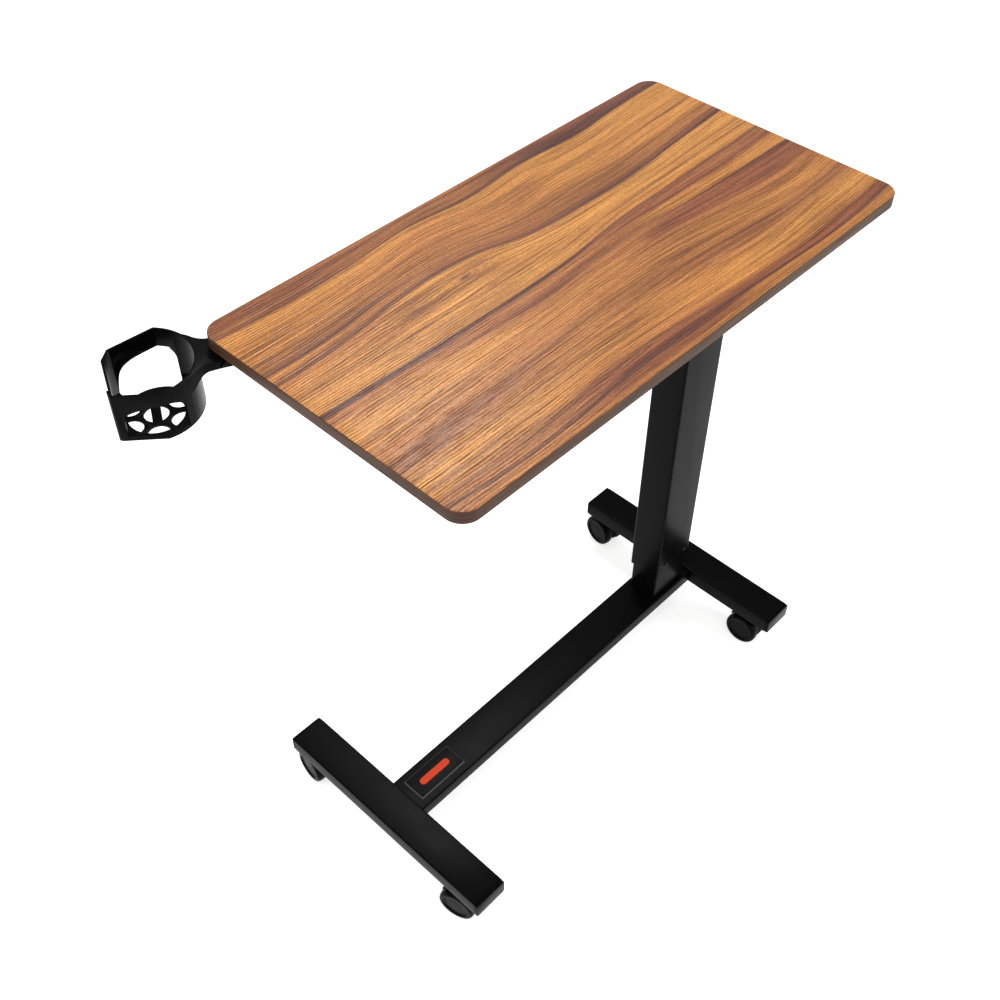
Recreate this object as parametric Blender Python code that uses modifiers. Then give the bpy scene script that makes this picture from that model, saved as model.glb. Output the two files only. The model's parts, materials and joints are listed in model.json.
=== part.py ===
"""Overbed table: an H-shaped base on four twin-wheel casters, a telescopic column with a gas
spring, a wood-look board and a cup holder that swings out from under one of its corners.

The table stands on the ground plane. +X runs along the board towards the column, +Y across it
towards the side on which the cup holder sits, and +Z is up. Sizes are in metres.
"""
import math

import bmesh
import bpy
from mathutils import Euler, Matrix, Vector

GAP = 0.0003            # left between pieces that touch
ROUND_STEPS = 24        # sides of a round piece
SMALL_STEPS = 16        # sides of a pin or a screw

# The origin lies under the middle of the whole table's box; this is the board's middle from there.
BOARD_CENTRE = (0.06286, -0.03354)

# Board
BOARD_LENGTH = 0.800
BOARD_WIDTH = 0.420
BOARD_THICKNESS = 0.018
BOARD_CORNER = 0.025
BOARD_TOP = 0.942
BOARD_BOTTOM = BOARD_TOP - BOARD_THICKNESS

# Base tubes
WALL = 0.0015
BASE_BOTTOM = 0.073
SPINE_WIDTH = 0.068
SPINE_HEIGHT = 0.025
SPINE_TOP = BASE_BOTTOM + SPINE_HEIGHT
CROSS_WIDTH = 0.058
CROSS_HEIGHT = 0.030
CROSS_LENGTH = 0.416
FRONT_X = -0.360
REAR_X = 0.364
CAP_THICKNESS = 0.005
CAP_PLUG = 0.014
TUBE_CORNER = 0.0016

# Badge on the spine
BADGE_X = -0.272
BADGE_SIZE = (0.094, 0.043, 0.0032)

# Column
COLUMN_X = 0.283
INNER_SIZE = (0.082, 0.053)
INNER_WALL = 0.002
INNER_TOP = 0.850
OUTER_SIZE = (0.088, 0.059)
OUTER_BOTTOM = 0.156
PLATE_THICKNESS = 0.004
RAIL_HEIGHT = 0.020
RAIL_WIDTH = 0.025
RAIL_Y = 0.080
RAIL_ENDS = (-0.200, 0.345)
RAIL_BOTTOM = BOARD_BOTTOM - GAP - RAIL_HEIGHT
PLATE_TOP = RAIL_BOTTOM - GAP
PLATE_BOTTOM = PLATE_TOP - PLATE_THICKNESS
PLATE_X = (0.188, 0.350)
PLATE_WIDTH = 0.190
OUTER_TOP = PLATE_BOTTOM - GAP
LINER_HEIGHT = 0.044
GLIDE_SCREW_Z = 0.178
GLIDE_SCREW_X = (-0.0230, 0.0267)
FOOT_THICKNESS = 0.008
FOOT_BOLT_SPACING = 0.050

# Gas spring
CYLINDER_RADIUS = 0.014
CYLINDER_BORE = 0.0125
CYLINDER_BOTTOM = 0.445
CYLINDER_TOP = 0.845
ROD_RADIUS = 0.005
NECK_RADIUS = 0.00513
PISTON_RADIUS = 0.0121
PISTON_BOTTOM = 0.500
ANCHOR_Z = 0.456
ANCHOR_RADIUS = 0.004
ROD_TOP = PLATE_TOP + 0.0062
RELEASE_PIN_RADIUS = 0.002
RELEASE_PIN_TOP = ROD_TOP + 0.0030

# Release lever
LEVER_PIVOT_X = COLUMN_X + 0.017
LEVER_THICKNESS = 0.004
LEVER_BOTTOM = RELEASE_PIN_TOP + 0.0004
LEVER_PIVOT_Z = LEVER_BOTTOM + LEVER_THICKNESS / 2
LEVER_WIDTH = 0.016
LEVER_PIN_RADIUS = 0.0025
PADDLE_Z = 0.897
GRIP_SIZE = (0.034, 0.066, 0.009)

# Casters
STEM_Y = 0.169
WHEEL_RADIUS = 0.030
WHEEL_TRAIL = 0.017
WHEEL_INNER = 0.007
WHEEL_OUTER = 0.0232
AXLE_RADIUS = 0.003
AXLE_BORE = 0.0031
STEM_RADIUS = 0.0045
STEM_BORE = 0.00463
TAB_AT = (-0.0025, 0.0435)
TAB_STUB = 0.0011
TAB_BORE = 0.0012
HOOD_TOP = 0.0700
SWIVELS = {"front_left": -6.4, "front_right": 13.9, "rear_left": -8.6, "rear_right": 1.1}

# Cup holder, measured from its pivot; its axes are parallel to the table's
CUP_PIVOT = (-0.346, 0.157)
CUP_RIM = BOARD_BOTTOM - 0.0015
RING = (-0.121, 0.074)
RING_RADIUS = 0.0625
RING_DEPTH = 0.025
CUP_DEPTH = 0.0655
CUP_WALL = 0.003
CUP_FLATS = ((86.0, 0.0450), (127.4, 0.0450), (154.7, 0.0413), (228.5, 0.0568))
OPEN_FROM = 20.0
OPEN_FACING = 35.0
FLOOR_HUMP = (0.0, -0.020)
FLOOR_HUMP_RADIUS = 0.045
FAN_HUB = (-0.0052, -0.0176)
FAN_RADIUS = 0.033
LENS_RADIUS = 0.0132
LENS_ANGLES = (0.0, 120.0, 180.0, 240.0, 300.0)
DISC_RADIUS = 0.0145
BRIDGE_WIDTH = 0.0115
BRIDGE_ANGLE = 60.5
ARM_ANGLE = -31.4
ARM_DEPTH = 0.010
PIVOT_BORE = 0.00314
SCREW_RADIUS = 0.003


# ---------------------------------------------------------------- scene and materials

def clear_scene():
    for obj in list(bpy.data.objects):
        bpy.data.objects.remove(obj, do_unlink=True)


def new_collection(name):
    collection = bpy.data.collections.new(name)
    bpy.context.scene.collection.children.link(collection)
    return collection


clear_scene()
PARTS = new_collection("overbed_table")
CUTTERS = new_collection("overbed_table_cutters")


def make_material(name, colour, roughness, metallic=0.0):
    material = bpy.data.materials.new(name)
    material.use_nodes = True
    shader = material.node_tree.nodes["Principled BSDF"]
    shader.inputs["Base Color"].default_value = (*colour, 1.0)
    shader.inputs["Roughness"].default_value = roughness
    shader.inputs["Metallic"].default_value = metallic
    return material


WOOD = make_material("wood_laminate", (0.42, 0.20, 0.075), 0.45)
BLACK_PAINT = make_material("black_powder_coat", (0.018, 0.018, 0.018), 0.45)
BLACK_PLASTIC = make_material("black_plastic", (0.015, 0.015, 0.015), 0.35)
GREY_PLASTIC = make_material("grey_glide_plastic", (0.30, 0.30, 0.30), 0.5)
TYRE = make_material("black_tread", (0.022, 0.022, 0.022), 0.55)
STEEL = make_material("zinc_steel", (0.55, 0.55, 0.56), 0.32, 1.0)
BLACK_STEEL = make_material("black_screw_steel", (0.04, 0.04, 0.04), 0.35, 1.0)
CHROME = make_material("polished_rod", (0.75, 0.75, 0.76), 0.12, 1.0)


# ---------------------------------------------------------------- shape helpers

def add_object(name, mesh, collection=PARTS):
    obj = bpy.data.objects.new(name, mesh)
    collection.objects.link(obj)
    return obj


def mesh_from(name, bm):
    mesh = bpy.data.meshes.new(name)
    bm.to_mesh(mesh)
    bm.free()
    return mesh


def smooth(mesh, angle=35.0):
    mesh.shade_smooth()
    mesh.set_sharp_from_angle(angle=math.radians(angle))


def block(name, size, at=(0.0, 0.0, 0.0)):
    """A box of the given size whose middle is at the object's origin."""
    bm = bmesh.new()
    bmesh.ops.create_cube(bm, size=1.0, matrix=Matrix.Diagonal((*size, 1.0)))
    obj = add_object(name, mesh_from(name, bm))
    obj.location = at
    return obj


def cylinder(name, radius, length, at=(0.0, 0.0, 0.0), axis="Z", steps=SMALL_STEPS):
    """A cylinder centred on the object's origin, along X, Y or Z."""
    turn = {"X": Matrix.Rotation(math.pi / 2, 4, "Y"), "Y": Matrix.Rotation(math.pi / 2, 4, "X"),
            "Z": Matrix.Identity(4)}[axis]
    bm = bmesh.new()
    bmesh.ops.create_cone(bm, cap_ends=True, segments=steps, radius1=radius, radius2=radius,
                          depth=length, matrix=turn)
    obj = add_object(name, mesh_from(name, bm))
    obj.location = at
    smooth(obj.data)
    return obj


def arc(centre, radius, start, end, steps):
    """Points from the start angle to the end angle, both in degrees and both included."""
    angles = [math.radians(start + (end - start) * i / steps) for i in range(steps + 1)]
    return [(centre[0] + radius * math.cos(a), centre[1] + radius * math.sin(a)) for a in angles]


def circle(radius, steps=SMALL_STEPS, centre=(0.0, 0.0)):
    return arc(centre, radius, 0.0, 360.0, steps)[:-1]


def rounded_rectangle(width, height, corner, steps=3):
    points = []
    for index, (sx, sy) in enumerate(((1, 1), (-1, 1), (-1, -1), (1, -1))):
        centre = (sx * (width / 2 - corner), sy * (height / 2 - corner))
        points += arc(centre, corner, 90.0 * index, 90.0 * index + 90.0, steps)
    return points


def shifted(points, by):
    return [(x + by[0], y + by[1]) for x, y in points]


def prism_mesh(name, loops, depth):
    """Loops in the XY plane, the first the outline and the rest holes, given a depth along Z."""
    curve = bpy.data.curves.new(name, "CURVE")
    curve.dimensions = "2D"
    curve.fill_mode = "BOTH"
    curve.extrude = depth / 2
    for loop in loops:
        spline = curve.splines.new("POLY")
        spline.points.add(len(loop) - 1)
        for point, (x, y) in zip(spline.points, loop):
            point.co = (x, y, 0.0, 1.0)
        spline.use_cyclic_u = True
    guide = add_object(name + "_outline", curve, CUTTERS)
    evaluated = guide.evaluated_get(bpy.context.evaluated_depsgraph_get())
    mesh = bpy.data.meshes.new_from_object(evaluated)
    bpy.data.objects.remove(guide)
    bpy.data.curves.remove(curve)
    bm = bmesh.new()
    bm.from_mesh(mesh)
    bmesh.ops.remove_doubles(bm, verts=bm.verts, dist=1e-6)
    bmesh.ops.recalc_face_normals(bm, faces=bm.faces)
    bm.to_mesh(mesh)
    bm.free()
    return mesh


def prism(name, loops, depth, at=(0.0, 0.0, 0.0), rotation=(0.0, 0.0, 0.0)):
    obj = add_object(name, prism_mesh(name, loops, depth))
    obj.location = at
    obj.rotation_euler = rotation
    smooth(obj.data)
    return obj


ALONG_X = (math.pi / 2, 0.0, math.pi / 2)     # a prism's X, Y and Z become +Y, +Z and +X
ALONG_Y = (math.pi / 2, 0.0, math.pi)         # a prism's X, Y and Z become -X, +Z and +Y


def turned(name, profile, steps=ROUND_STEPS, at=(0.0, 0.0, 0.0)):
    """A profile of (radius, height) points, outer side from top to bottom, turned about Z."""
    mesh = bpy.data.meshes.new(name)
    edges = [(i, i + 1) for i in range(len(profile) - 1)]
    mesh.from_pydata([(r, 0.0, z) for r, z in profile], edges, [])
    obj = add_object(name, mesh)
    obj.location = at
    screw = obj.modifiers.new("turn", "SCREW")
    screw.steps = steps
    screw.render_steps = steps
    screw.use_merge_vertices = True
    screw.merge_threshold = 1e-5
    screw.use_smooth_shade = True
    return obj


def combine(target, tool, operation):
    """Cut the tool from the target, or join it on. The tool is placed in the target's own frame."""
    tool.parent = target
    tool.hide_render = True
    tool.display_type = "WIRE"
    for collection in list(tool.users_collection):
        collection.objects.unlink(tool)
    CUTTERS.objects.link(tool)
    modifier = target.modifiers.new(operation.lower(), "BOOLEAN")
    modifier.operation = operation
    modifier.solver = "EXACT"
    modifier.object = tool


def cut(target, tool):
    combine(target, tool, "DIFFERENCE")


def join(target, tool):
    combine(target, tool, "UNION")


def baked_mesh(obj):
    """The object's shape with its modifiers applied, for copies that share one mesh."""
    bpy.context.view_layer.update()
    evaluated = obj.evaluated_get(bpy.context.evaluated_depsgraph_get())
    mesh = bpy.data.meshes.new_from_object(evaluated)
    for child in list(obj.children):
        bpy.data.objects.remove(child)
    bpy.data.objects.remove(obj)
    smooth(mesh)
    return mesh


def bevel(obj, width, segments=1, angle=30.0):
    modifier = obj.modifiers.new("edges", "BEVEL")
    modifier.width = width
    modifier.segments = segments
    modifier.limit_method = "ANGLE"
    modifier.angle_limit = math.radians(angle)


def finish(obj, material, parent):
    obj.data.materials.clear()
    obj.data.materials.append(material)
    obj.parent = parent
    return obj


def empty(name, parent, at, turn=0.0):
    obj = add_object(name, None)
    obj.empty_display_size = 0.03
    obj.parent = parent
    obj.location = at
    obj.rotation_euler = (0.0, 0.0, math.radians(turn))
    return obj


# ---------------------------------------------------------------- shared pieces

def screw_mesh(name, head_radius, head_height, shank_radius, shank_length, key_radius):
    """A screw along Z with the underside of its head at the origin and its shank pointing up."""
    profile = [(0.0, shank_length), (shank_radius, shank_length), (shank_radius, 0.0),
               (head_radius, 0.0), (head_radius, -0.65 * head_height),
               (0.72 * head_radius, -head_height), (0.0, -head_height)]
    screw = turned(name, profile, SMALL_STEPS)
    key = cylinder(name + "_key", key_radius, head_height, (0.0, 0.0, -head_height), steps=6)
    cut(screw, key)
    return baked_mesh(screw)


def rect_tube(name, size, wall, length, axis_rotation, at, corner=TUBE_CORNER, holes=()):
    """A rectangular tube whose section is size[0] by size[1] and which runs along the prism's Z."""
    outer = rounded_rectangle(size[0], size[1], corner)
    inner = rounded_rectangle(size[0] - 2 * wall, size[1] - 2 * wall, corner / 2, steps=1)
    tube = prism(name, [outer, inner], length, at, axis_rotation)
    for hole in holes:
        cut(tube, hole)
    return tube


# ---------------------------------------------------------------- base

def build_base(root):
    front_face = FRONT_X + CROSS_WIDTH / 2 + GAP
    rear_face = REAR_X - CROSS_WIDTH / 2 - GAP
    middle = (front_face + rear_face) / 2
    spine = rect_tube("spine_tube", (SPINE_WIDTH, SPINE_HEIGHT), WALL, rear_face - front_face, ALONG_X,
                      (middle, 0.0, BASE_BOTTOM + SPINE_HEIGHT / 2))
    for side in (-1, 1):
        # in the tube's own frame the length is Z and the height is Y
        along = COLUMN_X + side * FOOT_BOLT_SPACING / 2 - middle
        cut(spine, cylinder("spine_hole", 0.0044, 0.04, (0.0, 0.0, along), "Y"))
    finish(spine, BLACK_PAINT, root)

    cap_mesh = end_cap_mesh()
    for place, x in (("front", FRONT_X), ("rear", REAR_X)):
        crossbar = rect_tube(place + "_crossbar", (CROSS_WIDTH, CROSS_HEIGHT), WALL,
                             CROSS_LENGTH - 2 * (CAP_THICKNESS + GAP), ALONG_Y,
                             (x, 0.0, BASE_BOTTOM + CROSS_HEIGHT / 2))
        for side in (-1, 1):
            hole = cylinder("stem_hole", 0.0052, 0.006, (0.0, -CROSS_HEIGHT / 2, side * STEM_Y), "Y")
            cut(crossbar, hole)
        finish(crossbar, BLACK_PAINT, root)
        for hand, side in (("left", 1), ("right", -1)):
            cap = add_object(f"{place}_{hand}_end_cap", cap_mesh)
            cap.location = (x, side * (CROSS_LENGTH / 2 - CAP_THICKNESS), BASE_BOTTOM + CROSS_HEIGHT / 2)
            cap.rotation_euler = (0.0, 0.0, 0.0 if side == 1 else math.pi)
            finish(cap, BLACK_PLASTIC, root)

    badge = block("badge_plate", BADGE_SIZE, (BADGE_X, 0.0, SPINE_TOP + GAP + BADGE_SIZE[2] / 2))
    for vertex in badge.data.vertices:
        if vertex.co.z > 0.0:
            vertex.co.x -= math.copysign(0.0028, vertex.co.x)
            vertex.co.y -= math.copysign(0.0028, vertex.co.y)
    finish(badge, BLACK_PLASTIC, root)


def end_cap_mesh():
    """A plug for a crossbar's end: its flange starts at the origin and faces +Y."""
    flange = prism("cap_flange", [rounded_rectangle(CROSS_WIDTH, CROSS_HEIGHT, 0.0045)], CAP_THICKNESS)
    bevel(flange, 0.0012)
    plug_size = [side - 2 * WALL - 2 * GAP for side in (CROSS_WIDTH, CROSS_HEIGHT)]
    overlap = 0.0005
    join(flange, prism("cap_plug", [rounded_rectangle(*plug_size, 0.0015, 1)], CAP_PLUG + overlap,
                       (0.0, 0.0, -(CAP_THICKNESS + CAP_PLUG - overlap) / 2)))
    mesh = baked_mesh(flange)
    mesh.transform(Matrix.Translation((0.0, CAP_THICKNESS / 2, 0.0)) @ Euler(ALONG_Y).to_matrix().to_4x4())
    return mesh


def build_column(root):
    """The fixed inner tube with its foot, bolts, upper bush and the gas spring's cylinder."""
    x = COLUMN_X
    inner_bottom = SPINE_TOP + GAP
    inner_length = INNER_TOP - inner_bottom
    inner = rect_tube("inner_column", INNER_SIZE, INNER_WALL, inner_length, (0.0, 0.0, 0.0),
                      (x, 0.0, inner_bottom + inner_length / 2), 0.003)
    anchor_height = ANCHOR_Z - (inner_bottom + inner_length / 2)
    cut(inner, cylinder("anchor_hole", ANCHOR_RADIUS + GAP, 0.08, (0.0, 0.0, anchor_height), "Y"))
    finish(inner, BLACK_PAINT, root)

    inside = [side - 2 * INNER_WALL - 2 * GAP for side in INNER_SIZE]
    foot_z = inner_bottom + FOOT_THICKNESS / 2
    foot = prism("column_foot", [rounded_rectangle(*inside, 0.002, 1)], FOOT_THICKNESS, (x, 0.0, foot_z))
    for side in (-1, 1):
        cut(foot, cylinder("foot_hole", 0.0044, 0.02, (side * FOOT_BOLT_SPACING / 2, 0.0, 0.0)))
    finish(foot, STEEL, root)

    shank = SPINE_HEIGHT + FOOT_THICKNESS - 0.001
    bolt_mesh = screw_mesh("column_bolt", 0.0072, 0.005, 0.004, shank, 0.0032)
    for name, side in (("column_bolt_front", -1), ("column_bolt_rear", 1)):
        bolt = add_object(name, bolt_mesh)
        bolt.location = (x + side * FOOT_BOLT_SPACING / 2, 0.0, BASE_BOTTOM - GAP)
        finish(bolt, BLACK_STEEL, root)

    bush = prism("upper_glide_bush", [rounded_rectangle(0.0844, 0.0554, 0.003), circle(0.0165, ROUND_STEPS)],
                 0.004, (x, 0.0, INNER_TOP + GAP + 0.002))
    skirt = prism("bush_skirt", [rounded_rectangle(*inside, 0.002, 1), circle(0.0165, ROUND_STEPS)], 0.015,
                  (0.0, 0.0, -0.009))
    join(bush, skirt)
    finish(bush, GREY_PLASTIC, root)

    profile = [(0.0, CYLINDER_BOTTOM + 0.022), (CYLINDER_BORE, CYLINDER_BOTTOM + 0.022),
               (CYLINDER_BORE, CYLINDER_TOP - 0.005), (NECK_RADIUS, CYLINDER_TOP - 0.005),
               (NECK_RADIUS, CYLINDER_TOP), (CYLINDER_RADIUS - 0.002, CYLINDER_TOP),
               (CYLINDER_RADIUS, CYLINDER_TOP - 0.002), (CYLINDER_RADIUS, CYLINDER_BOTTOM),
               (0.0, CYLINDER_BOTTOM)]
    gas_cylinder = turned("gas_spring_cylinder", profile, at=(x, 0.0, 0.0))
    cut(gas_cylinder, cylinder("eye_hole", ANCHOR_RADIUS + GAP, 0.05, (0.0, 0.0, ANCHOR_Z), "Y"))
    finish(gas_cylinder, BLACK_PAINT, root)

    pin_length = INNER_SIZE[1] - 0.001
    pin = cylinder("gas_spring_anchor_pin", ANCHOR_RADIUS, pin_length, (x, 0.0, ANCHOR_Z), "Y")
    finish(pin, STEEL, root)


# ---------------------------------------------------------------- lifting column and board

def build_lift(root):
    lift = empty("column_lift_axis", root, (COLUMN_X, 0.0, 0.0))
    outer_length = OUTER_TOP - OUTER_BOTTOM
    outer = rect_tube("outer_column", OUTER_SIZE, WALL, outer_length, (0.0, 0.0, 0.0),
                      (0.0, 0.0, OUTER_BOTTOM + outer_length / 2), 0.0034)
    face_y = -OUTER_SIZE[1] / 2
    for screw_x in GLIDE_SCREW_X:
        height = GLIDE_SCREW_Z - (OUTER_BOTTOM + outer_length / 2)
        cut(outer, cylinder("glide_hole", 0.0022, 0.006, (screw_x, face_y, height), "Y"))
    finish(outer, BLACK_PAINT, lift)

    liner_loops = [rounded_rectangle(0.0844, 0.0554, 0.002, 1), rounded_rectangle(0.0826, 0.0536, 0.0012, 1)]
    liner = prism("lower_glide_liner", liner_loops, LINER_HEIGHT,
                  (0.0, 0.0, OUTER_BOTTOM + 0.0005 + LINER_HEIGHT / 2))
    finish(liner, GREY_PLASTIC, lift)

    glide_mesh = screw_mesh("glide_screw", 0.0036, 0.0022, 0.0018, WALL - 0.0003, 0.0016)
    for name, screw_x in zip(("glide_screw_front", "glide_screw_rear"), GLIDE_SCREW_X):
        screw = add_object(name, glide_mesh)
        screw.location = (screw_x, face_y - GAP, GLIDE_SCREW_Z)
        screw.rotation_euler = (-math.pi / 2, 0.0, 0.0)
        finish(screw, BLACK_STEEL, lift)

    build_head(lift)
    build_board(lift)
    build_rod(lift)
    return lift


def screw_places():
    """The four board screws: two near the rails' far ends and two through the head plate."""
    return {"board_screw_front_left": (-0.180, RAIL_Y, False),
            "board_screw_front_right": (-0.180, -RAIL_Y, False),
            "board_screw_rear_left": (0.335, RAIL_Y, True),
            "board_screw_rear_right": (0.335, -RAIL_Y, True)}


def build_head(lift):
    outline = rounded_rectangle(PLATE_X[1] - PLATE_X[0], PLATE_WIDTH, 0.010)
    outline = shifted(outline, (sum(PLATE_X) / 2 - COLUMN_X, 0.0))
    plate = prism("column_head_plate", [outline, circle(ROD_RADIUS + GAP)], PLATE_THICKNESS,
                  (0.0, 0.0, (PLATE_BOTTOM + PLATE_TOP) / 2))
    for x, y, through_plate in screw_places().values():
        if through_plate:
            cut(plate, cylinder("plate_hole", 0.0029, 0.02, (x - COLUMN_X, y, 0.0)))
    finish(plate, BLACK_PAINT, lift)

    length = RAIL_ENDS[1] - RAIL_ENDS[0]
    middle = sum(RAIL_ENDS) / 2
    for hand, side in (("left", 1), ("right", -1)):
        rail = rect_tube(f"support_rail_{hand}", (RAIL_WIDTH, RAIL_HEIGHT), WALL, length, ALONG_X,
                         (middle - COLUMN_X, side * RAIL_Y, RAIL_BOTTOM + RAIL_HEIGHT / 2))
        for x, y, _ in screw_places().values():
            if y * side > 0.0:
                cut(rail, cylinder("rail_hole", 0.0029, 0.04, (0.0, 0.0, x - middle), "Y"))
        finish(rail, BLACK_PAINT, lift)

    into_board = 0.012
    through_rail = RAIL_HEIGHT + GAP + into_board
    rail_screw = screw_mesh("rail_screw", 0.0055, 0.0032, 0.0025, through_rail, 0.0022)
    plate_screw = screw_mesh("plate_screw", 0.0055, 0.0032, 0.0025,
                             through_rail + PLATE_THICKNESS + GAP, 0.0022)
    for name, (x, y, through_plate) in screw_places().items():
        screw = add_object(name, plate_screw if through_plate else rail_screw)
        seat = PLATE_BOTTOM if through_plate else RAIL_BOTTOM
        screw.location = (x - COLUMN_X, y, seat - GAP)
        finish(screw, BLACK_STEEL, lift)


def build_board(lift):
    """The board, and the screw on which the cup holder turns."""
    board = prism("tabletop_board", [rounded_rectangle(BOARD_LENGTH, BOARD_WIDTH, BOARD_CORNER, 8)],
                  BOARD_THICKNESS, (-COLUMN_X, 0.0, (BOARD_TOP + BOARD_BOTTOM) / 2))
    depth = 0.0285
    for x, y, _ in screw_places().values():
        cut(board, cylinder("pilot_hole", 0.0029, depth, (x, y, -BOARD_THICKNESS / 2)))
    cut(board, cylinder("pivot_hole", SCREW_RADIUS + GAP, depth, (*CUP_PIVOT, -BOARD_THICKNESS / 2)))
    finish(board, WOOD, lift)

    shank = BOARD_BOTTOM - (CUP_RIM - ARM_DEPTH) + 0.012
    screw = add_object("cup_pivot_screw", screw_mesh("cup_pivot_screw", 0.007, 0.0035, SCREW_RADIUS,
                                                     shank, 0.0028))
    screw.location = (CUP_PIVOT[0] - COLUMN_X, CUP_PIVOT[1], CUP_RIM - ARM_DEPTH - GAP)
    finish(screw, BLACK_STEEL, lift)


def build_rod(lift):
    piston_top = PISTON_BOTTOM + 0.012
    bore = RELEASE_PIN_RADIUS + 0.0001
    bore_bottom = ROD_TOP - 0.020
    profile = [(0.0, bore_bottom), (bore, bore_bottom), (bore, ROD_TOP), (ROD_RADIUS - 0.0004, ROD_TOP),
               (ROD_RADIUS, ROD_TOP - 0.0005), (ROD_RADIUS, piston_top), (PISTON_RADIUS, piston_top),
               (PISTON_RADIUS, PISTON_BOTTOM), (0.0, PISTON_BOTTOM)]
    finish(turned("gas_spring_rod", profile), CHROME, lift)

    hexagon = circle(0.0092, 6)
    nut = prism("rod_nut", [hexagon, circle(ROD_RADIUS + GAP)], 0.005, (0.0, 0.0, PLATE_TOP + GAP + 0.0025))
    finish(nut, STEEL, lift)


# ---------------------------------------------------------------- release lever

def build_lever(root, lift):
    pivot_at = (LEVER_PIVOT_X, 0.0, LEVER_PIVOT_Z)
    lever_axis = empty("release_lever_axis", root, pivot_at)

    half = LEVER_THICKNESS / 2
    drop = PADDLE_Z - LEVER_PIVOT_Z
    tip = COLUMN_X - LEVER_PIVOT_X - 0.005
    outline = [(tip, -half), (0.050, -half), (0.0565, drop - half), (0.087, drop - half),
               (0.087, drop + half), (0.0585, drop + half), (0.052, half), (tip, half)]
    # the outline is drawn with +Y up and turned so that its depth lies across the table
    lever = prism("release_lever", [[(-x, z) for x, z in outline]], LEVER_WIDTH, rotation=ALONG_Y)
    join(lever, cylinder("lever_hub", 0.0046, LEVER_WIDTH - 0.0002))
    cut(lever, cylinder("lever_hole", LEVER_PIN_RADIUS + 0.00015, 0.03))
    finish(lever, STEEL, lever_axis)

    grip = block("release_grip", GRIP_SIZE, (0.0605 + GRIP_SIZE[0] / 2 - 0.0005, 0.0, drop))
    bevel(grip, 0.003, 2)
    slot = block("grip_slot", (0.060, LEVER_WIDTH + 2 * GAP, LEVER_THICKNESS + 2 * GAP),
                 (-0.0300 + 0.0105, 0.0, 0.0))
    cut(grip, slot)
    finish(grip, BLACK_PLASTIC, lever_axis)

    ear_gap = LEVER_WIDTH / 2 + 0.0005
    ear = 0.0024
    bottom = PLATE_TOP + GAP
    top = LEVER_PIVOT_Z + 0.0052
    floor = 0.0016
    section = [(-ear_gap - ear, bottom), (ear_gap + ear, bottom), (ear_gap + ear, top), (ear_gap, top),
               (ear_gap, bottom + floor), (-ear_gap, bottom + floor), (-ear_gap, top), (-ear_gap - ear, top)]
    bracket = prism("lever_bracket", [[(y, z - LEVER_PIVOT_Z) for y, z in section]], 0.014,
                    (LEVER_PIVOT_X + 0.001 - COLUMN_X, 0.0, LEVER_PIVOT_Z), ALONG_X)
    cut(bracket, cylinder("bracket_hole", LEVER_PIN_RADIUS + 0.00015, 0.04, (0.0, 0.0, -0.001), "X"))
    finish(bracket, STEEL, lift)

    pin = cylinder("lever_pivot_pin", LEVER_PIN_RADIUS, 2 * (ear_gap + ear) + 0.002,
                   (LEVER_PIVOT_X - COLUMN_X, 0.0, LEVER_PIVOT_Z), "Y")
    finish(pin, STEEL, lift)

    release_axis = empty("release_pin_axis", root, (COLUMN_X, 0.0, 0.0))
    length = RELEASE_PIN_TOP - ROD_TOP + 0.016
    release = cylinder("release_pin", RELEASE_PIN_RADIUS, length,
                       (0.0, 0.0, RELEASE_PIN_TOP - length / 2), steps=12)
    finish(release, STEEL, release_axis)


# ---------------------------------------------------------------- cup holder

def flats_meet(first, second):
    """Where two flats meet. A flat is (angle of its outward normal, distance from the ring's middle)."""
    a, p = math.radians(first[0]), first[1]
    b, q = math.radians(second[0]), second[1]
    det = math.sin(b - a)
    return ((p * math.sin(b) - q * math.sin(a)) / det, (q * math.cos(a) - p * math.cos(b)) / det)


def ring_outline(inset):
    """The ring's outline: a round side that faces the arm, then the four flats."""
    radius = RING_RADIUS - inset
    flats = [(angle, distance - inset) for angle, distance in CUP_FLATS]
    start = flats[-1][0] + math.degrees(math.acos(min(flats[-1][1] / radius, 1.0))) - 360.0
    end = flats[0][0] - math.degrees(math.acos(flats[0][1] / radius))
    points = arc((0.0, 0.0), radius, start, end, 20)
    points += [flats_meet(a, b) for a, b in zip(flats, flats[1:])]
    return shifted(points, RING)


def arm_outline(inset):
    """The arm's outline, round at the pivot, slightly wider at the ring and flared into it."""
    near = [(0.0060, -0.0160), (0.056, -0.0213), (0.071, -0.0222), (0.079, -0.0265), (0.089, -0.0367),
            (0.0955, -0.0420), (0.1000, -0.0440)]
    far = [(0.0980, 0.0420), (0.0930, 0.0400), (0.086, 0.0352), (0.079, 0.0292), (0.070, 0.0253),
           (0.056, 0.0240), (0.0060, 0.0180)]
    near = [(x, y + inset) for x, y in near]
    far = [(x, y - inset) for x, y in far]
    tip = arc((0.0, 0.0), 0.0170 - inset, 100.0, 260.0, 8)
    turn = math.radians(180.0 + ARM_ANGLE)
    c, s = math.cos(turn), math.sin(turn)
    points = [(x, -y) for x, y in near + [(0.120, -0.030), (0.120, 0.030)] + far + tip]
    return [(c * x - s * y, s * x + c * y) for x, y in reversed(points)]


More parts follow.
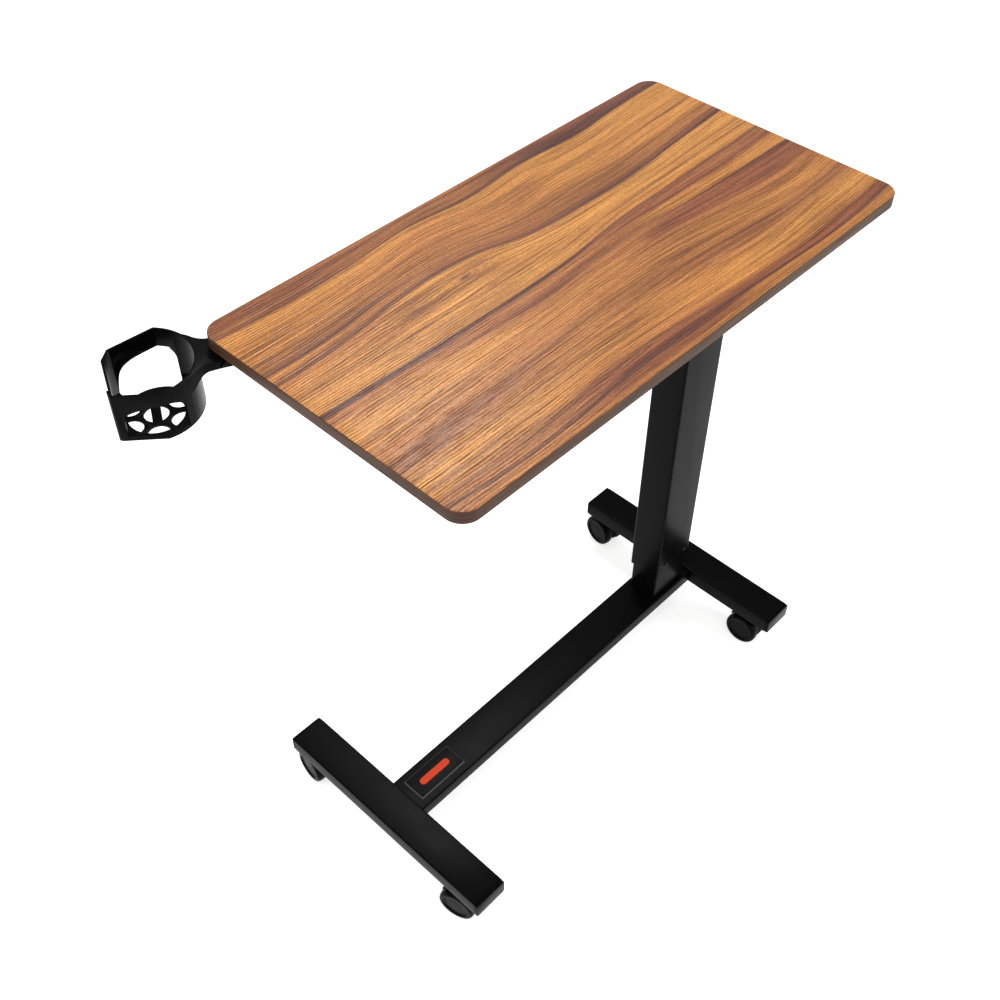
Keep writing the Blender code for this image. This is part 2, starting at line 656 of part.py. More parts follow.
def floor_outline():
    """The floor plate: it runs into the walls in front and on the left, and has a rounded hump behind."""
    sunk = CUP_WALL / 2
    flats = [(angle, distance - sunk) for angle, distance in CUP_FLATS]
    corners = [flats_meet(first, second) for first, second in zip(flats, flats[1:])]
    radius = RING_RADIUS - sunk
    start = flats[-1][0] + math.degrees(math.acos(flats[-1][1] / radius)) - 360.0
    end = OPEN_FROM - 1.0
    points = arc((0.0, 0.0), radius, start, end, 16)
    points += arc((0.0, 0.0), RING_RADIUS - CUP_WALL, end, 0.0, 1)[:1] + [(0.0465, 0.0020)]
    points += arc(FLOOR_HUMP, FLOOR_HUMP_RADIUS, 25.0, 110.0, 10)
    return shifted(points + corners, RING)


def floor_cut_outs():
    """Five lenses round a disc that a straight bridge splits in two."""
    centre = (RING[0] + FAN_HUB[0], RING[1] + FAN_HUB[1])
    half = 2.0 * math.degrees(math.asin(LENS_RADIUS / (2.0 * FAN_RADIUS)))
    shapes = []
    for angle in LENS_ANGLES:
        middle = arc(centre, FAN_RADIUS, angle, angle, 1)[0]
        inner = arc(middle, LENS_RADIUS, angle + 90.0 + half / 2, angle + 270.0 - half / 2, 10)
        shapes.append(arc(centre, FAN_RADIUS, angle - half, angle + half, 6) + inner[1:-1])
    chord = math.degrees(math.acos(BRIDGE_WIDTH / 2 / DISC_RADIUS))
    for angle in (BRIDGE_ANGLE - 90.0, BRIDGE_ANGLE + 90.0):
        shapes.append(arc(centre, DISC_RADIUS, angle - chord, angle + chord, 10))
    return shapes


def wall_cutter(name, outline, normal_angle, reach):
    """A cutter for a wall: its outline runs along the wall and up from the rim level."""
    thickness = 0.040
    turn = math.radians(normal_angle + 90.0)
    middle = arc(RING, reach, normal_angle, normal_angle, 1)[0]
    return prism(name, [outline], thickness, (*middle, 0.0), (math.pi / 2, 0.0, turn))


def along_flat(index, corner):
    """How far along a flat one of its corners lies, measured from the point nearest the ring's middle."""
    turn = math.radians(CUP_FLATS[index][0] + 90.0)
    return corner[0] * math.cos(turn) + corner[1] * math.sin(turn)


def window_outline():
    """The arched window in the front wall. Its left foot is where the front flat starts."""
    arch = ((0.0085, -0.0300), (0.0140, -0.0268), (0.0200, -0.0245), (0.0320, -0.0210), (0.0430, -0.0183),
            (0.0530, -0.0170), (0.0600, -0.0176), (0.0670, -0.0204), (0.0720, -0.0250), (0.0753, -0.0300))
    sill = -CUP_DEPTH + CUP_WALL
    start = along_flat(3, flats_meet(CUP_FLATS[2], CUP_FLATS[3]))
    points = [(arch[0][0], sill), *arch, (arch[-1][0], sill)]
    return shifted(reversed(points), (start, 0.0))


def back_opening_outline():
    """Opens the far flat below the rim's band, in a sweep that widens away from the left leg."""
    below = -CUP_DEPTH - 0.005
    sweep = ((0.0008, below), (0.0008, -0.0634), (0.0030, -0.0500), (0.0060, -0.0393), (0.0090, -0.0340),
             (0.0134, -0.0303), (0.0190, -0.0278), (0.0254, -0.0262), (0.0400, -0.0252),
             (0.0700, -RING_DEPTH), (0.0700, below))
    corner = along_flat(0, flats_meet(CUP_FLATS[0], CUP_FLATS[1]))
    return [(corner - distance, height) for distance, height in sweep]


def side_opening_outline():
    """Opens the round side as far as the right leg, with a large radius under the rim's band."""
    below = -CUP_DEPTH - 0.005
    leg = RING_RADIUS * math.cos(math.radians(OPEN_FACING + 90.0 - OPEN_FROM))
    radius = 0.015
    fillet = arc((leg + radius, -RING_DEPTH - radius), radius, 180.0, 90.0, 8)
    return [(leg, below), *fillet, (0.012, -RING_DEPTH), (0.012, below)]


def corner_fin():
    """A wedge on the outside of the left leg's front corner, narrowing towards the floor."""
    fin = block("corner_fin", (1.0, 1.0, 1.0))
    corner = Vector(flats_meet(CUP_FLATS[2], CUP_FLATS[3])) + Vector(RING)
    back = Vector(flats_meet(CUP_FLATS[1], CUP_FLATS[2])) + Vector(RING) - corner
    back.normalize()
    front_angle = math.radians(CUP_FLATS[3][0] - 90.0)
    out = Vector((math.cos(front_angle), math.sin(front_angle)))
    inward = Vector((back.y, -back.x)) * CUP_WALL / 2
    for vertex in fin.data.vertices:
        top = vertex.co.z > 0.0
        away = (out * 0.0024 + back * 0.0120) if top else (out * 0.0022 + back * 0.0010)
        spot = corner.copy()
        if vertex.co.x < 0.0:
            spot += away if vertex.co.y > 0.0 else out * 0.0004
        else:
            spot += inward + back * (away.dot(back) if vertex.co.y > 0.0 else 0.0010)
        vertex.co = (*spot, -0.0004 if top else -CUP_DEPTH + 0.0006)
    return fin


def build_cup_holder(root):
    axis = empty("cup_holder_axis", root, (*CUP_PIVOT, CUP_RIM))
    holder = prism("cup_holder", [ring_outline(0.0), ring_outline(CUP_WALL)], CUP_DEPTH)
    holder.data.transform(Matrix.Translation((0.0, 0.0, -CUP_DEPTH / 2)))

    cut(holder, wall_cutter("back_opening", back_opening_outline(), CUP_FLATS[0][0], 0.050))
    cut(holder, wall_cutter("side_opening", side_opening_outline(), OPEN_FACING, RING_RADIUS))
    cut(holder, wall_cutter("front_window", window_outline(), CUP_FLATS[3][0], 0.054))
    join(holder, corner_fin())
    join(holder, prism("cup_floor", [floor_outline(), *floor_cut_outs()], CUP_WALL,
                       (0.0, 0.0, -CUP_DEPTH + CUP_WALL / 2 + 0.0002)))

    arm_depth = 0.023
    arm = prism("cup_arm", [arm_outline(0.0)], arm_depth, (0.0, 0.0, -arm_depth / 2 - 0.0003))
    pocket_depth = 0.040
    pocket = prism("arm_pocket", [arm_outline(CUP_WALL)], pocket_depth,
                   (0.0, 0.0, arm_depth / 2 - CUP_WALL - pocket_depth / 2))
    cut(arm, pocket)
    cut(arm, prism("cup_space", [ring_outline(CUP_WALL / 2)], 0.080))
    under = [(-0.030, -ARM_DEPTH), (0.060, -ARM_DEPTH), (0.077, -0.014), (0.086, -0.0195), (0.095, -0.026),
             (0.095, -0.040), (-0.030, -0.040)]
    cut(arm, prism("arm_underside", [under[::-1]], 0.120, (0.0, 0.0, arm_depth / 2),
                   (math.pi / 2, 0.0, math.radians(180.0 + ARM_ANGLE))))
    boss_height = ARM_DEPTH + 0.0012
    join(holder, arm)
    join(holder, cylinder("pivot_boss", 0.009, boss_height, (0.0, 0.0, 0.0012 - boss_height / 2)))
    cut(holder, cylinder("pivot_bore", PIVOT_BORE, 0.05))
    finish(holder, BLACK_PLASTIC, axis)


# ---------------------------------------------------------------- casters

def wheel_mesh():
    """A wheel turned about its axle: its outer face is at the top and its blind bore below."""
    profile = [(0.0, WHEEL_OUTER - 0.0014), (0.0220, WHEEL_OUTER - 0.0014), (0.0236, WHEEL_OUTER),
               (0.0272, WHEEL_OUTER), (WHEEL_RADIUS, WHEEL_OUTER - 0.0030),
               (WHEEL_RADIUS, WHEEL_INNER + 0.0022), (0.0278, WHEEL_INNER), (AXLE_BORE, WHEEL_INNER),
               (AXLE_BORE, WHEEL_OUTER - 0.0034), (0.0, WHEEL_OUTER - 0.0034)]
    return baked_mesh(turned("caster_wheel", profile))


def hood_mesh():
    """The caster's body: a web between the wheels, the stem's housing, a fender and two cheeks."""
    to_stem = -WHEEL_TRAIL
    top = HOOD_TOP - WHEEL_RADIUS
    hood = cylinder("caster_hood", 0.020, 0.011, axis="X", steps=ROUND_STEPS)
    join(hood, cylinder("housing", 0.0064, 0.015, (0.0, to_stem, top - 0.0155), steps=SMALL_STEPS))
    join(hood, cylinder("collar", 0.0095, 0.0088, (0.0, to_stem, top - 0.0044), steps=SMALL_STEPS))
    join(hood, block("bridge", (0.0106, 0.0240, 0.0215), (0.0, -0.0030, 0.0205)))
    fender = arc((0.0, 0.0), 0.0346, 40.0, 138.0, 9) + arc((0.0, 0.0), 0.0320, 138.0, 40.0, 9)
    join(hood, prism("fender", [fender], 0.032, rotation=ALONG_X))
    tab_y, tab_z = TAB_AT[0] - WHEEL_TRAIL, TAB_AT[1] - WHEEL_RADIUS
    for side in (-1, 1):
        join(hood, block("cheek", (0.0016, 0.0130, 0.0112), (side * 0.0057, tab_y + 0.0015, tab_z + 0.0014)))
    cut(hood, cylinder("stem_bore", STEM_BORE, 0.030, (0.0, to_stem, top - 0.0068), steps=SMALL_STEPS))
    cut(hood, cylinder("axle_bore", AXLE_RADIUS + GAP, 0.05, axis="X"))
    cut(hood, cylinder("tab_bore", TAB_BORE, 0.03, (0.0, tab_y, tab_z), "X"))
    mesh = baked_mesh(hood)
    mesh.transform(Matrix.Translation((0.0, WHEEL_TRAIL, WHEEL_RADIUS)))
    return mesh


def brake_mesh():
    """A brake tab that hangs in front of the web. Its pivot, with a stub each side, is the origin."""
    outline = arc((0.0, 0.0), 0.0026, 15.0, 165.0, 5)
    outline += [(-0.0052, -0.0100), (-0.0088, -0.0210), (-0.0062, -0.0225), (-0.0020, -0.0120)]
    tab = prism("brake_tab", [outline], 0.0088)
    join(tab, cylinder("tab_stub", TAB_STUB, 0.0128, steps=12))
    mesh = baked_mesh(tab)
    mesh.transform(Euler(ALONG_X).to_matrix().to_4x4())
    return mesh


def stem_mesh():
    seat = BASE_BOTTOM - GAP
    profile = [(0.0, seat + 0.016), (0.0046, seat + 0.016), (0.0050, seat + 0.0155), (0.0050, seat),
               (0.0100, seat), (0.0100, HOOD_TOP + GAP), (STEM_RADIUS, HOOD_TOP + GAP), (STEM_RADIUS, 0.0492),
               (0.0, 0.0492)]
    return baked_mesh(turned("caster_stem", profile, SMALL_STEPS))


def build_casters(root):
    wheel, hood, brake, stem = wheel_mesh(), hood_mesh(), brake_mesh(), stem_mesh()
    for name, turn in SWIVELS.items():
        x = FRONT_X if name.startswith("front") else REAR_X
        y = STEM_Y if name.endswith("left") else -STEM_Y
        post = add_object(f"{name}_caster_stem", stem)
        post.location = (x, y, 0.0)
        finish(post, STEEL, root)

        swivel = empty(f"{name}_swivel_axis", root, (x, y, 0.0), turn)
        finish(add_object(f"{name}_caster_hood", hood), BLACK_PLASTIC, swivel)
        axle = cylinder(f"{name}_axle", AXLE_RADIUS, 2 * (WHEEL_OUTER - 0.0038),
                        (0.0, WHEEL_TRAIL, WHEEL_RADIUS), "X")
        finish(axle, STEEL, swivel)
        for side, sign in (("inner", 1), ("outer", -1)):
            disc = add_object(f"{name}_{side}_wheel", wheel)
            disc.location = (0.0, WHEEL_TRAIL, WHEEL_RADIUS)
            disc.rotation_euler = (0.0, sign * math.pi / 2, 0.0)
            finish(disc, TYRE, swivel)
        tab = add_object(f"{name}_brake_tab", brake)
        tab.location = (0.0, *TAB_AT)
        finish(tab, BLACK_PLASTIC, swivel)


def build():
    root = empty("table_origin", None, (*BOARD_CENTRE, 0.0))
    build_base(root)
    build_column(root)
    lift = build_lift(root)
    build_lever(root, lift)
    build_cup_holder(root)
    build_casters(root)
    bpy.context.view_layer.update()


build()
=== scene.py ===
"""Looks for the overbed table: detailed pieces, procedural materials, studio light and the camera.

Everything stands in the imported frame: metres, +X along the board towards the column, +Y towards
the cup holder's side, +Z up, and the origin on the floor under the middle of the table.
"""

import json
import math

import bmesh
import bpy
from mathutils import Matrix, Vector


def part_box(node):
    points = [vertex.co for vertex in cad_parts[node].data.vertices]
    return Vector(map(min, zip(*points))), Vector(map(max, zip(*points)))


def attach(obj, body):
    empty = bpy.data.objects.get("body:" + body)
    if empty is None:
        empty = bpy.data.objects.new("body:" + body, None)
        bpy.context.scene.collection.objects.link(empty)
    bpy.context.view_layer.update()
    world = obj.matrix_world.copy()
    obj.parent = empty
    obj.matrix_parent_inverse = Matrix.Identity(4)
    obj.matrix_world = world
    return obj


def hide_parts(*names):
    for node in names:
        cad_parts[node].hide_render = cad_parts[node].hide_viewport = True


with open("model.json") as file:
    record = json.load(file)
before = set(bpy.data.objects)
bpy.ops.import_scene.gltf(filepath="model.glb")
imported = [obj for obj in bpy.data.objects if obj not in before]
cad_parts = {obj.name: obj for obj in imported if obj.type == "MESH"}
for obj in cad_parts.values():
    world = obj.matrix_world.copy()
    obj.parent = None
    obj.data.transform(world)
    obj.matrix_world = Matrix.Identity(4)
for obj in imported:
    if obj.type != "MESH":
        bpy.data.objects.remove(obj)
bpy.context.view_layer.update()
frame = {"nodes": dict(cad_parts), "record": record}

BOARD_LOW, BOARD_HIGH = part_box("tabletop_board")
BOARD_CENTRE = Vector([(a + b) / 2 for a, b in zip(BOARD_LOW, BOARD_HIGH)])
BOARD_TOP = BOARD_HIGH[2]
HALF_LENGTH = 0.400
HALF_WIDTH = 0.210
BOARD_CORNER = 0.025

CASTERS = {"front_left": -6.4, "front_right": 13.9, "rear_left": -8.6, "rear_right": 1.1}
WHEEL_TRAIL = 0.017
WHEEL_RADIUS = 0.030


# ---------------------------------------------------------------- mesh helpers

def middle(node):
    low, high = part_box(node)
    return Vector([(a + b) / 2 for a, b in zip(low, high)])


def extent(node):
    low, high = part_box(node)
    return Vector([b - a for a, b in zip(low, high)])


def link(name, mesh):
    obj = bpy.data.objects.new(name, mesh)
    bpy.context.scene.collection.objects.link(obj)
    return obj


def smooth(obj, angle=32.0):
    obj.data.shade_smooth()
    obj.data.set_sharp_from_angle(angle=math.radians(angle))
    return obj


def bake(obj):
    """Applies the object's modifiers and its own transform to its mesh."""
    bpy.context.view_layer.update()
    evaluated = obj.evaluated_get(bpy.context.evaluated_depsgraph_get())
    mesh = bpy.data.meshes.new_from_object(evaluated)
    obj.modifiers.clear()
    mesh.transform(obj.matrix_world)
    obj.matrix_world = Matrix.Identity(4)
    obj.data = mesh
    return obj


def arc(centre, radius, start, end, steps):
    angles = [math.radians(start + (end - start) * i / steps) for i in range(steps + 1)]
    return [(centre[0] + radius * math.cos(a), centre[1] + radius * math.sin(a)) for a in angles]


def shifted(points, by):
    return [(x + by[0], y + by[1]) for x, y in points]


def rounded_rectangle(width, height, corner, steps=8):
    points = []
    for index, (sx, sy) in enumerate(((1, 1), (-1, 1), (-1, -1), (1, -1))):
        centre = (sx * (width / 2 - corner), sy * (height / 2 - corner))
        points += arc(centre, corner, 90.0 * index, 90.0 * index + 90.0, steps)
    return points


def prism(name, loops, depth, at=(0.0, 0.0, 0.0), rotation=(0.0, 0.0, 0.0)):
    """Loops in the XY plane, the first the outline and the rest holes, given a depth along Z."""
    curve = bpy.data.curves.new(name, "CURVE")
    curve.dimensions = "2D"
    curve.fill_mode = "BOTH"
    curve.extrude = depth / 2
    for loop in loops:
        spline = curve.splines.new("POLY")
        spline.points.add(len(loop) - 1)
        for point, (x, y) in zip(spline.points, loop):
            point.co = (x, y, 0.0, 1.0)
        spline.use_cyclic_u = True
    guide = link(name + "_outline", curve)
    evaluated = guide.evaluated_get(bpy.context.evaluated_depsgraph_get())
    mesh = bpy.data.meshes.new_from_object(evaluated)
    bpy.data.objects.remove(guide)
    bpy.data.curves.remove(curve)
    bm = bmesh.new()
    bm.from_mesh(mesh)
    bmesh.ops.remove_doubles(bm, verts=bm.verts, dist=1e-6)
    bmesh.ops.recalc_face_normals(bm, faces=bm.faces)
    bmesh.ops.dissolve_limit(bm, angle_limit=math.radians(0.5), verts=bm.verts, edges=bm.edges)
    bm.to_mesh(mesh)
    bm.free()
    obj = link(name, mesh)
    obj.location = at
    obj.rotation_euler = rotation
    return smooth(obj)


def cylinder(name, radius, length, at=(0.0, 0.0, 0.0), axis="Z", steps=48):
    turn = {"X": Matrix.Rotation(math.pi / 2, 4, "Y"), "Y": Matrix.Rotation(math.pi / 2, 4, "X"),
            "Z": Matrix.Identity(4)}[axis]
    bm = bmesh.new()
    bmesh.ops.create_cone(bm, cap_ends=True, segments=steps, radius1=radius, radius2=radius,
                          depth=length, matrix=turn)
    mesh = bpy.data.meshes.new(name)
    bm.to_mesh(mesh)
    bm.free()
    obj = link(name, mesh)
    obj.location = at
    return smooth(obj)


def block(name, size, at=(0.0, 0.0, 0.0)):
    bm = bmesh.new()
    bmesh.ops.create_cube(bm, size=1.0, matrix=Matrix.Diagonal((*size, 1.0)))
    mesh = bpy.data.meshes.new(name)
    bm.to_mesh(mesh)
    bm.free()
    obj = link(name, mesh)
    obj.location = at
    return obj


def turned(name, profile, steps, at=(0.0, 0.0, 0.0)):
    """A profile of (radius, height) points, outer side from top to bottom, turned about Z."""
    mesh = bpy.data.meshes.new(name)
    mesh.from_pydata([(r, 0.0, z) for r, z in profile], [(i, i + 1) for i in range(len(profile) - 1)], [])
    obj = link(name, mesh)
    obj.location = at
    screw = obj.modifiers.new("turn", "SCREW")
    screw.steps = steps
    screw.render_steps = steps
    screw.use_merge_vertices = True
    screw.merge_threshold = 1e-5
    screw.use_smooth_shade = True
    bake(obj)
    return smooth(obj)


def bevel(obj, width, segments=3, angle=30.0):
    modifier = obj.modifiers.new("edges", "BEVEL")
    modifier.width = width
    modifier.segments = segments
    modifier.limit_method = "ANGLE"
    modifier.angle_limit = math.radians(angle)


def combine(target, tool, operation):
    """Cuts the tool from the target or joins it on, at once. Both are placed in the same space."""
    modifier = target.modifiers.new("boolean", "BOOLEAN")
    modifier.operation = operation
    modifier.solver = "EXACT"
    modifier.object = tool
    bake(target)
    bpy.data.objects.remove(tool)


def cut(target, tool):
    combine(target, tool, "DIFFERENCE")


def join(target, tool):
    combine(target, tool, "UNION")


def tidy_faces(obj, angle=1.0):
    """Merges flat faces after Booleans, so that a bevel has clean edges to follow."""
    bm = bmesh.new()
    bm.from_mesh(obj.data)
    bmesh.ops.remove_doubles(bm, verts=bm.verts, dist=2e-5)
    bmesh.ops.dissolve_limit(bm, angle_limit=math.radians(angle), verts=bm.verts, edges=bm.edges)
    bm.to_mesh(obj.data)
    bm.free()


def body_of(node):
    for name, nodes in frame["record"]["behaviour"]["bodies"].items():
        if node in nodes:
            return name
    raise KeyError(node)


def place(obj, node, slot, *materials):
    """Gives a finished piece its materials and its place on the frame, instead of this CAD node."""
    obj.data.materials.clear()
    for material in materials:
        obj.data.materials.append(material)
    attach(obj, body_of(node))
    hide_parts(node)


# ---------------------------------------------------------------- node helpers

class Nodes:
    """A short way to write a material's node tree."""

    def __init__(self, name):
        self.material = bpy.data.materials.new(name)
        self.material.use_nodes = True
        self.tree = self.material.node_tree
        self.shader = self.tree.nodes["Principled BSDF"]
        self.coords = self.tree.nodes.new("ShaderNodeTexCoord").outputs["Object"]

    def link(self, value, socket):
        if isinstance(value, bpy.types.NodeSocket):
            self.tree.links.new(value, socket)
        else:
            socket.default_value = value

    def node(self, kind, **settings):
        made = self.tree.nodes.new(kind)
        for key, value in settings.items():
            setattr(made, key, value)
        return made

    def math(self, operation, a, b=0.0):
        made = self.node("ShaderNodeMath", operation=operation)
        self.link(a, made.inputs[0])
        self.link(b, made.inputs[1])
        return made.outputs[0]

    def axes(self, vector=None):
        made = self.node("ShaderNodeSeparateXYZ")
        self.link(vector or self.coords, made.inputs[0])
        return made.outputs

    def vector(self, x, y, z):
        made = self.node("ShaderNodeCombineXYZ")
        for value, socket in zip((x, y, z), made.inputs):
            self.link(value, socket)
        return made.outputs[0]

    def scaled(self, scale, vector=None):
        made = self.node("ShaderNodeMapping")
        self.link(vector or self.coords, made.inputs["Vector"])
        made.inputs["Scale"].default_value = scale
        return made.outputs[0]

    def noise(self, vector, scale, detail=3.0, roughness=0.5):
        made = self.node("ShaderNodeTexNoise")
        self.link(vector, made.inputs["Vector"])
        made.inputs["Scale"].default_value = scale
        made.inputs["Detail"].default_value = detail
        made.inputs["Roughness"].default_value = roughness
        return made.outputs["Fac"]

    def span(self, value, low, high, to_low=0.0, to_high=1.0, smooth_step=False):
        made = self.node("ShaderNodeMapRange", clamp=True)
        if smooth_step:
            made.interpolation_type = "SMOOTHSTEP"
        self.link(value, made.inputs["Value"])
        for name, limit in (("From Min", low), ("From Max", high), ("To Min", to_low), ("To Max", to_high)):
            self.link(limit, made.inputs[name])
        return made.outputs["Result"]

    def ramp(self, value, stops):
        made = self.node("ShaderNodeValToRGB")
        self.link(value, made.inputs[0])
        elements = made.color_ramp.elements
        while len(elements) > 1:
            elements.remove(elements[-1])
        for index, (position, colour) in enumerate(stops):
            element = elements[0] if index == 0 else elements.new(position)
            element.position = position
            element.color = (*colour, 1.0)
        return made.outputs["Color"]

    def mix(self, factor, a, b, blend="MIX"):
        made = self.node("ShaderNodeMix", data_type="RGBA", blend_type=blend)
        self.link(factor, made.inputs[0])
        for value, socket in ((a, made.inputs[6]), (b, made.inputs[7])):
            self.link(value if isinstance(value, bpy.types.NodeSocket) else (*value, 1.0), socket)
        return made.outputs[2]

    def bump(self, height, strength, distance, normal=None):
        made = self.node("ShaderNodeBump")
        made.inputs["Strength"].default_value = strength
        made.inputs["Distance"].default_value = distance
        self.link(height, made.inputs["Height"])
        if normal is not None:
            self.link(normal, made.inputs["Normal"])
        return made.outputs["Normal"]

    def finish(self, colour, roughness, normal=None, **constants):
        self.link(colour if isinstance(colour, bpy.types.NodeSocket) else (*colour, 1.0),
                  self.shader.inputs["Base Color"])
        self.link(roughness, self.shader.inputs["Roughness"])
        if normal is not None:
            self.link(normal, self.shader.inputs["Normal"])
        for name, value in constants.items():
            self.shader.inputs[name.replace("_", " ")].default_value = value
        return self.material


# ---------------------------------------------------------------- plain finishes

def powder_coat():
    """Satin black powder coat: fine orange peel, faint cloudiness and a trace of dust."""
    n = Nodes("powder_coat_look")
    colour, roughness = (0.0022, 0.0022, 0.0023), 0.30
    peel = n.noise(n.coords, 900.0, 2.0, 0.5)
    waves = n.noise(n.coords, 160.0, 2.0, 0.5)
    cloud = n.noise(n.coords, 9.0, 4.0, 0.6)
    speck = n.span(n.noise(n.coords, 420.0, 2.0, 0.7), 0.70, 0.78)
    base = n.mix(n.span(cloud, 0.3, 0.7), colour, tuple(1.35 * c for c in colour))
    base = n.mix(n.math("MULTIPLY", speck, 0.30), base, (0.020, 0.020, 0.019))
    rough = n.math("ADD", n.span(cloud, 0.25, 0.75, roughness - 0.05, roughness + 0.06),
                   n.math("MULTIPLY", speck, 0.12))
    normal = n.bump(waves, 0.10, 0.0006, n.bump(peel, 0.16, 0.0002))
    return n.finish(base, rough, normal, Specular_IOR_Level=0.035)


def moulded_plastic(name, colour, roughness, grain=1400.0, strength=0.22, specular=0.022):
    """Moulded plastic with a fine spark-eroded grain."""
    n = Nodes(name)
    fine = n.noise(n.coords, grain, 2.0, 0.6)
    cloud = n.noise(n.coords, 14.0, 4.0, 0.6)
    scuff = n.noise(n.scaled((1.0, 1.0, 6.0)), 90.0, 3.0, 0.7)
    base = n.mix(n.span(cloud, 0.3, 0.7), colour, tuple(1.3 * c for c in colour))
    rough = n.math("ADD", n.span(cloud, 0.3, 0.7, roughness - 0.04, roughness + 0.05),
                   n.span(scuff, 0.62, 0.80, 0.0, 0.10))
    return n.finish(base, rough, n.bump(fine, strength, 0.00025), Specular_IOR_Level=specular)


def metal(name, colour, roughness, brushed=(1.0, 1.0, 1.0), strength=0.08):
    """Plated or oiled steel: a fine directional grain, and stains in its roughness."""
    n = Nodes(name)
    grain = n.noise(n.scaled(brushed), 900.0, 3.0, 0.6)
    stain = n.noise(n.coords, 60.0, 4.0, 0.6)
    base = n.mix(n.span(stain, 0.35, 0.7), colour, tuple(0.8 * c for c in colour))
    rough = n.math("ADD", n.span(stain, 0.3, 0.7, roughness - 0.06, roughness + 0.08),
                   n.span(grain, 0.3, 0.7, -0.03, 0.03))
    return n.finish(base, rough, n.bump(grain, strength, 0.0001), Metallic=1.0)


def wheel_tread():
    """Hard black tread: moulding grain and a little floor dust."""
    n = Nodes("wheel_tread_look")
    dust = n.noise(n.coords, 70.0, 5.0, 0.7)
    fine = n.noise(n.coords, 1100.0, 2.0, 0.6)
    base = n.mix(n.span(dust, 0.5, 0.75, 0.0, 0.5), (0.0024, 0.0024, 0.0025), (0.0075, 0.0073, 0.0070))
    rough = n.span(dust, 0.35, 0.75, 0.22, 0.42)
    return n.finish(base, rough, n.bump(fine, 0.15, 0.0002), Specular_IOR_Level=0.035)


def badge_finish():
    """Satin black plate with a painted highlight, a lighter grey, on its sloped rim, and one plain
    orange-red bar across it, printed a little unevenly.
    """
    n = Nodes("badge_look")
    at = middle("badge_plate")
    x, y, z = n.axes()
    half_length, half_width = 0.0300, 0.0060
    along = n.math("ABSOLUTE", n.math("SUBTRACT", x, at.x))
    across = n.math("ABSOLUTE", n.math("SUBTRACT", y, at.y))
    outside = n.math("MAXIMUM", n.math("SUBTRACT", along, half_length - half_width), 0.0)
    reach = n.math("SQRT", n.math("ADD", n.math("POWER", outside, 2.0), n.math("POWER", across, 2.0)))
    bar = n.span(reach, half_width - 0.0002, half_width + 0.0002, 1.0, 0.0)
    ink = n.noise(n.coords, 700.0, 2.0, 0.6)
    orange = n.mix(n.span(ink, 0.35, 0.7), (0.70, 0.060, 0.016), (0.60, 0.048, 0.013))
    plate = n.mix(n.noise(n.coords, 30.0, 3.0), (0.0026, 0.0026, 0.0026), (0.0040, 0.0040, 0.0040))
    top = n.span(z, at.z + 0.0010, at.z + 0.0012)
    # painted highlight: the sloped rim below the top face is painted a lighter grey
    plate = n.mix(n.span(z, at.z + 0.0012, at.z + 0.0004), plate, (0.085, 0.085, 0.088))
    colour = n.mix(n.math("MULTIPLY", bar, top), plate, orange)
    rough = n.span(ink, 0.3, 0.7, 0.30, 0.38)
    return n.finish(colour, rough, n.bump(ink, 0.08, 0.0001), Specular_IOR_Level=0.04)


# ---------------------------------------------------------------- wood

GOLD = (0.540, 0.240, 0.058)
HONEY = (0.455, 0.190, 0.048)
OCHRE = (0.375, 0.148, 0.042)
BROWN = (0.285, 0.108, 0.038)
RED = (0.230, 0.076, 0.033)
UMBER = (0.150, 0.054, 0.031)
PLUM = (0.090, 0.033, 0.025)

# lines of the figure, from the near edge to the far one: each one's share of the way across the
# straightened grain, then its distance in millimetres from the board's middle, every 100 mm from
# the left end to the right
VEINS = (
    (0.040, (-190, -196, -194, -190, -191, -192, -196, -197, -190)),
    (0.079, (-175, -178, -173, -168, -173, -181, -185, -183, -175)),
    (0.152, (-148, -146, -145, -146, -148, -149, -151, -143, -140)),
    (0.295, (-90, -87, -82, -78, -76, -80, -92, -108, -100)),
    (0.438, (-20, -22, -27, -30, -25, -23, -28, -30, -32)),
    (0.507, (2, -1, -3, -4, 0, 9, 12, 15, 18)),
    (0.555, (17, 15, 13, 12, 17, 29, 31, 34, 35)),
    (0.614, (45, 47, 52, 56, 46, 44, 46, 50, 55)),
    (0.674, (70, 75, 87, 88, 66, 61, 63, 71, 79)),
    (0.931, (179, 174, 177, 185, 176, 184, 179, 187, 191)),
)
# the wood's colour at shares of the way across the straightened grain, for each third of the board
LEFT_TONES = (
    (0.000, OCHRE), (0.036, OCHRE), (0.041, UMBER), (0.052, OCHRE), (0.079, BROWN), (0.090, HONEY),
    (0.150, GOLD), (0.240, BROWN), (0.290, OCHRE), (0.390, GOLD), (0.433, HONEY), (0.452, BROWN),
    (0.468, OCHRE), (0.482, UMBER), (0.503, PLUM), (0.509, HONEY), (0.550, GOLD), (0.610, HONEY),
    (0.666, OCHRE), (0.674, UMBER), (0.690, BROWN), (0.708, HONEY), (0.722, UMBER), (0.755, OCHRE),
    (0.870, HONEY), (0.926, GOLD), (0.932, UMBER), (0.950, BROWN), (0.975, RED), (1.000, BROWN),
)
MIDDLE_TONES = (
    (0.000, OCHRE), (0.036, RED), (0.041, PLUM), (0.058, RED), (0.079, BROWN), (0.090, OCHRE),
    (0.130, HONEY), (0.165, HONEY), (0.230, OCHRE), (0.300, OCHRE), (0.365, HONEY), (0.410, OCHRE),
    (0.438, BROWN), (0.452, RED), (0.470, OCHRE), (0.488, BROWN), (0.504, PLUM), (0.509, HONEY),
    (0.545, GOLD), (0.640, GOLD), (0.668, GOLD), (0.675, UMBER), (0.695, BROWN), (0.760, OCHRE),
    (0.860, OCHRE), (0.905, HONEY), (0.927, GOLD), (0.932, UMBER), (0.942, BROWN), (1.000, BROWN),
)
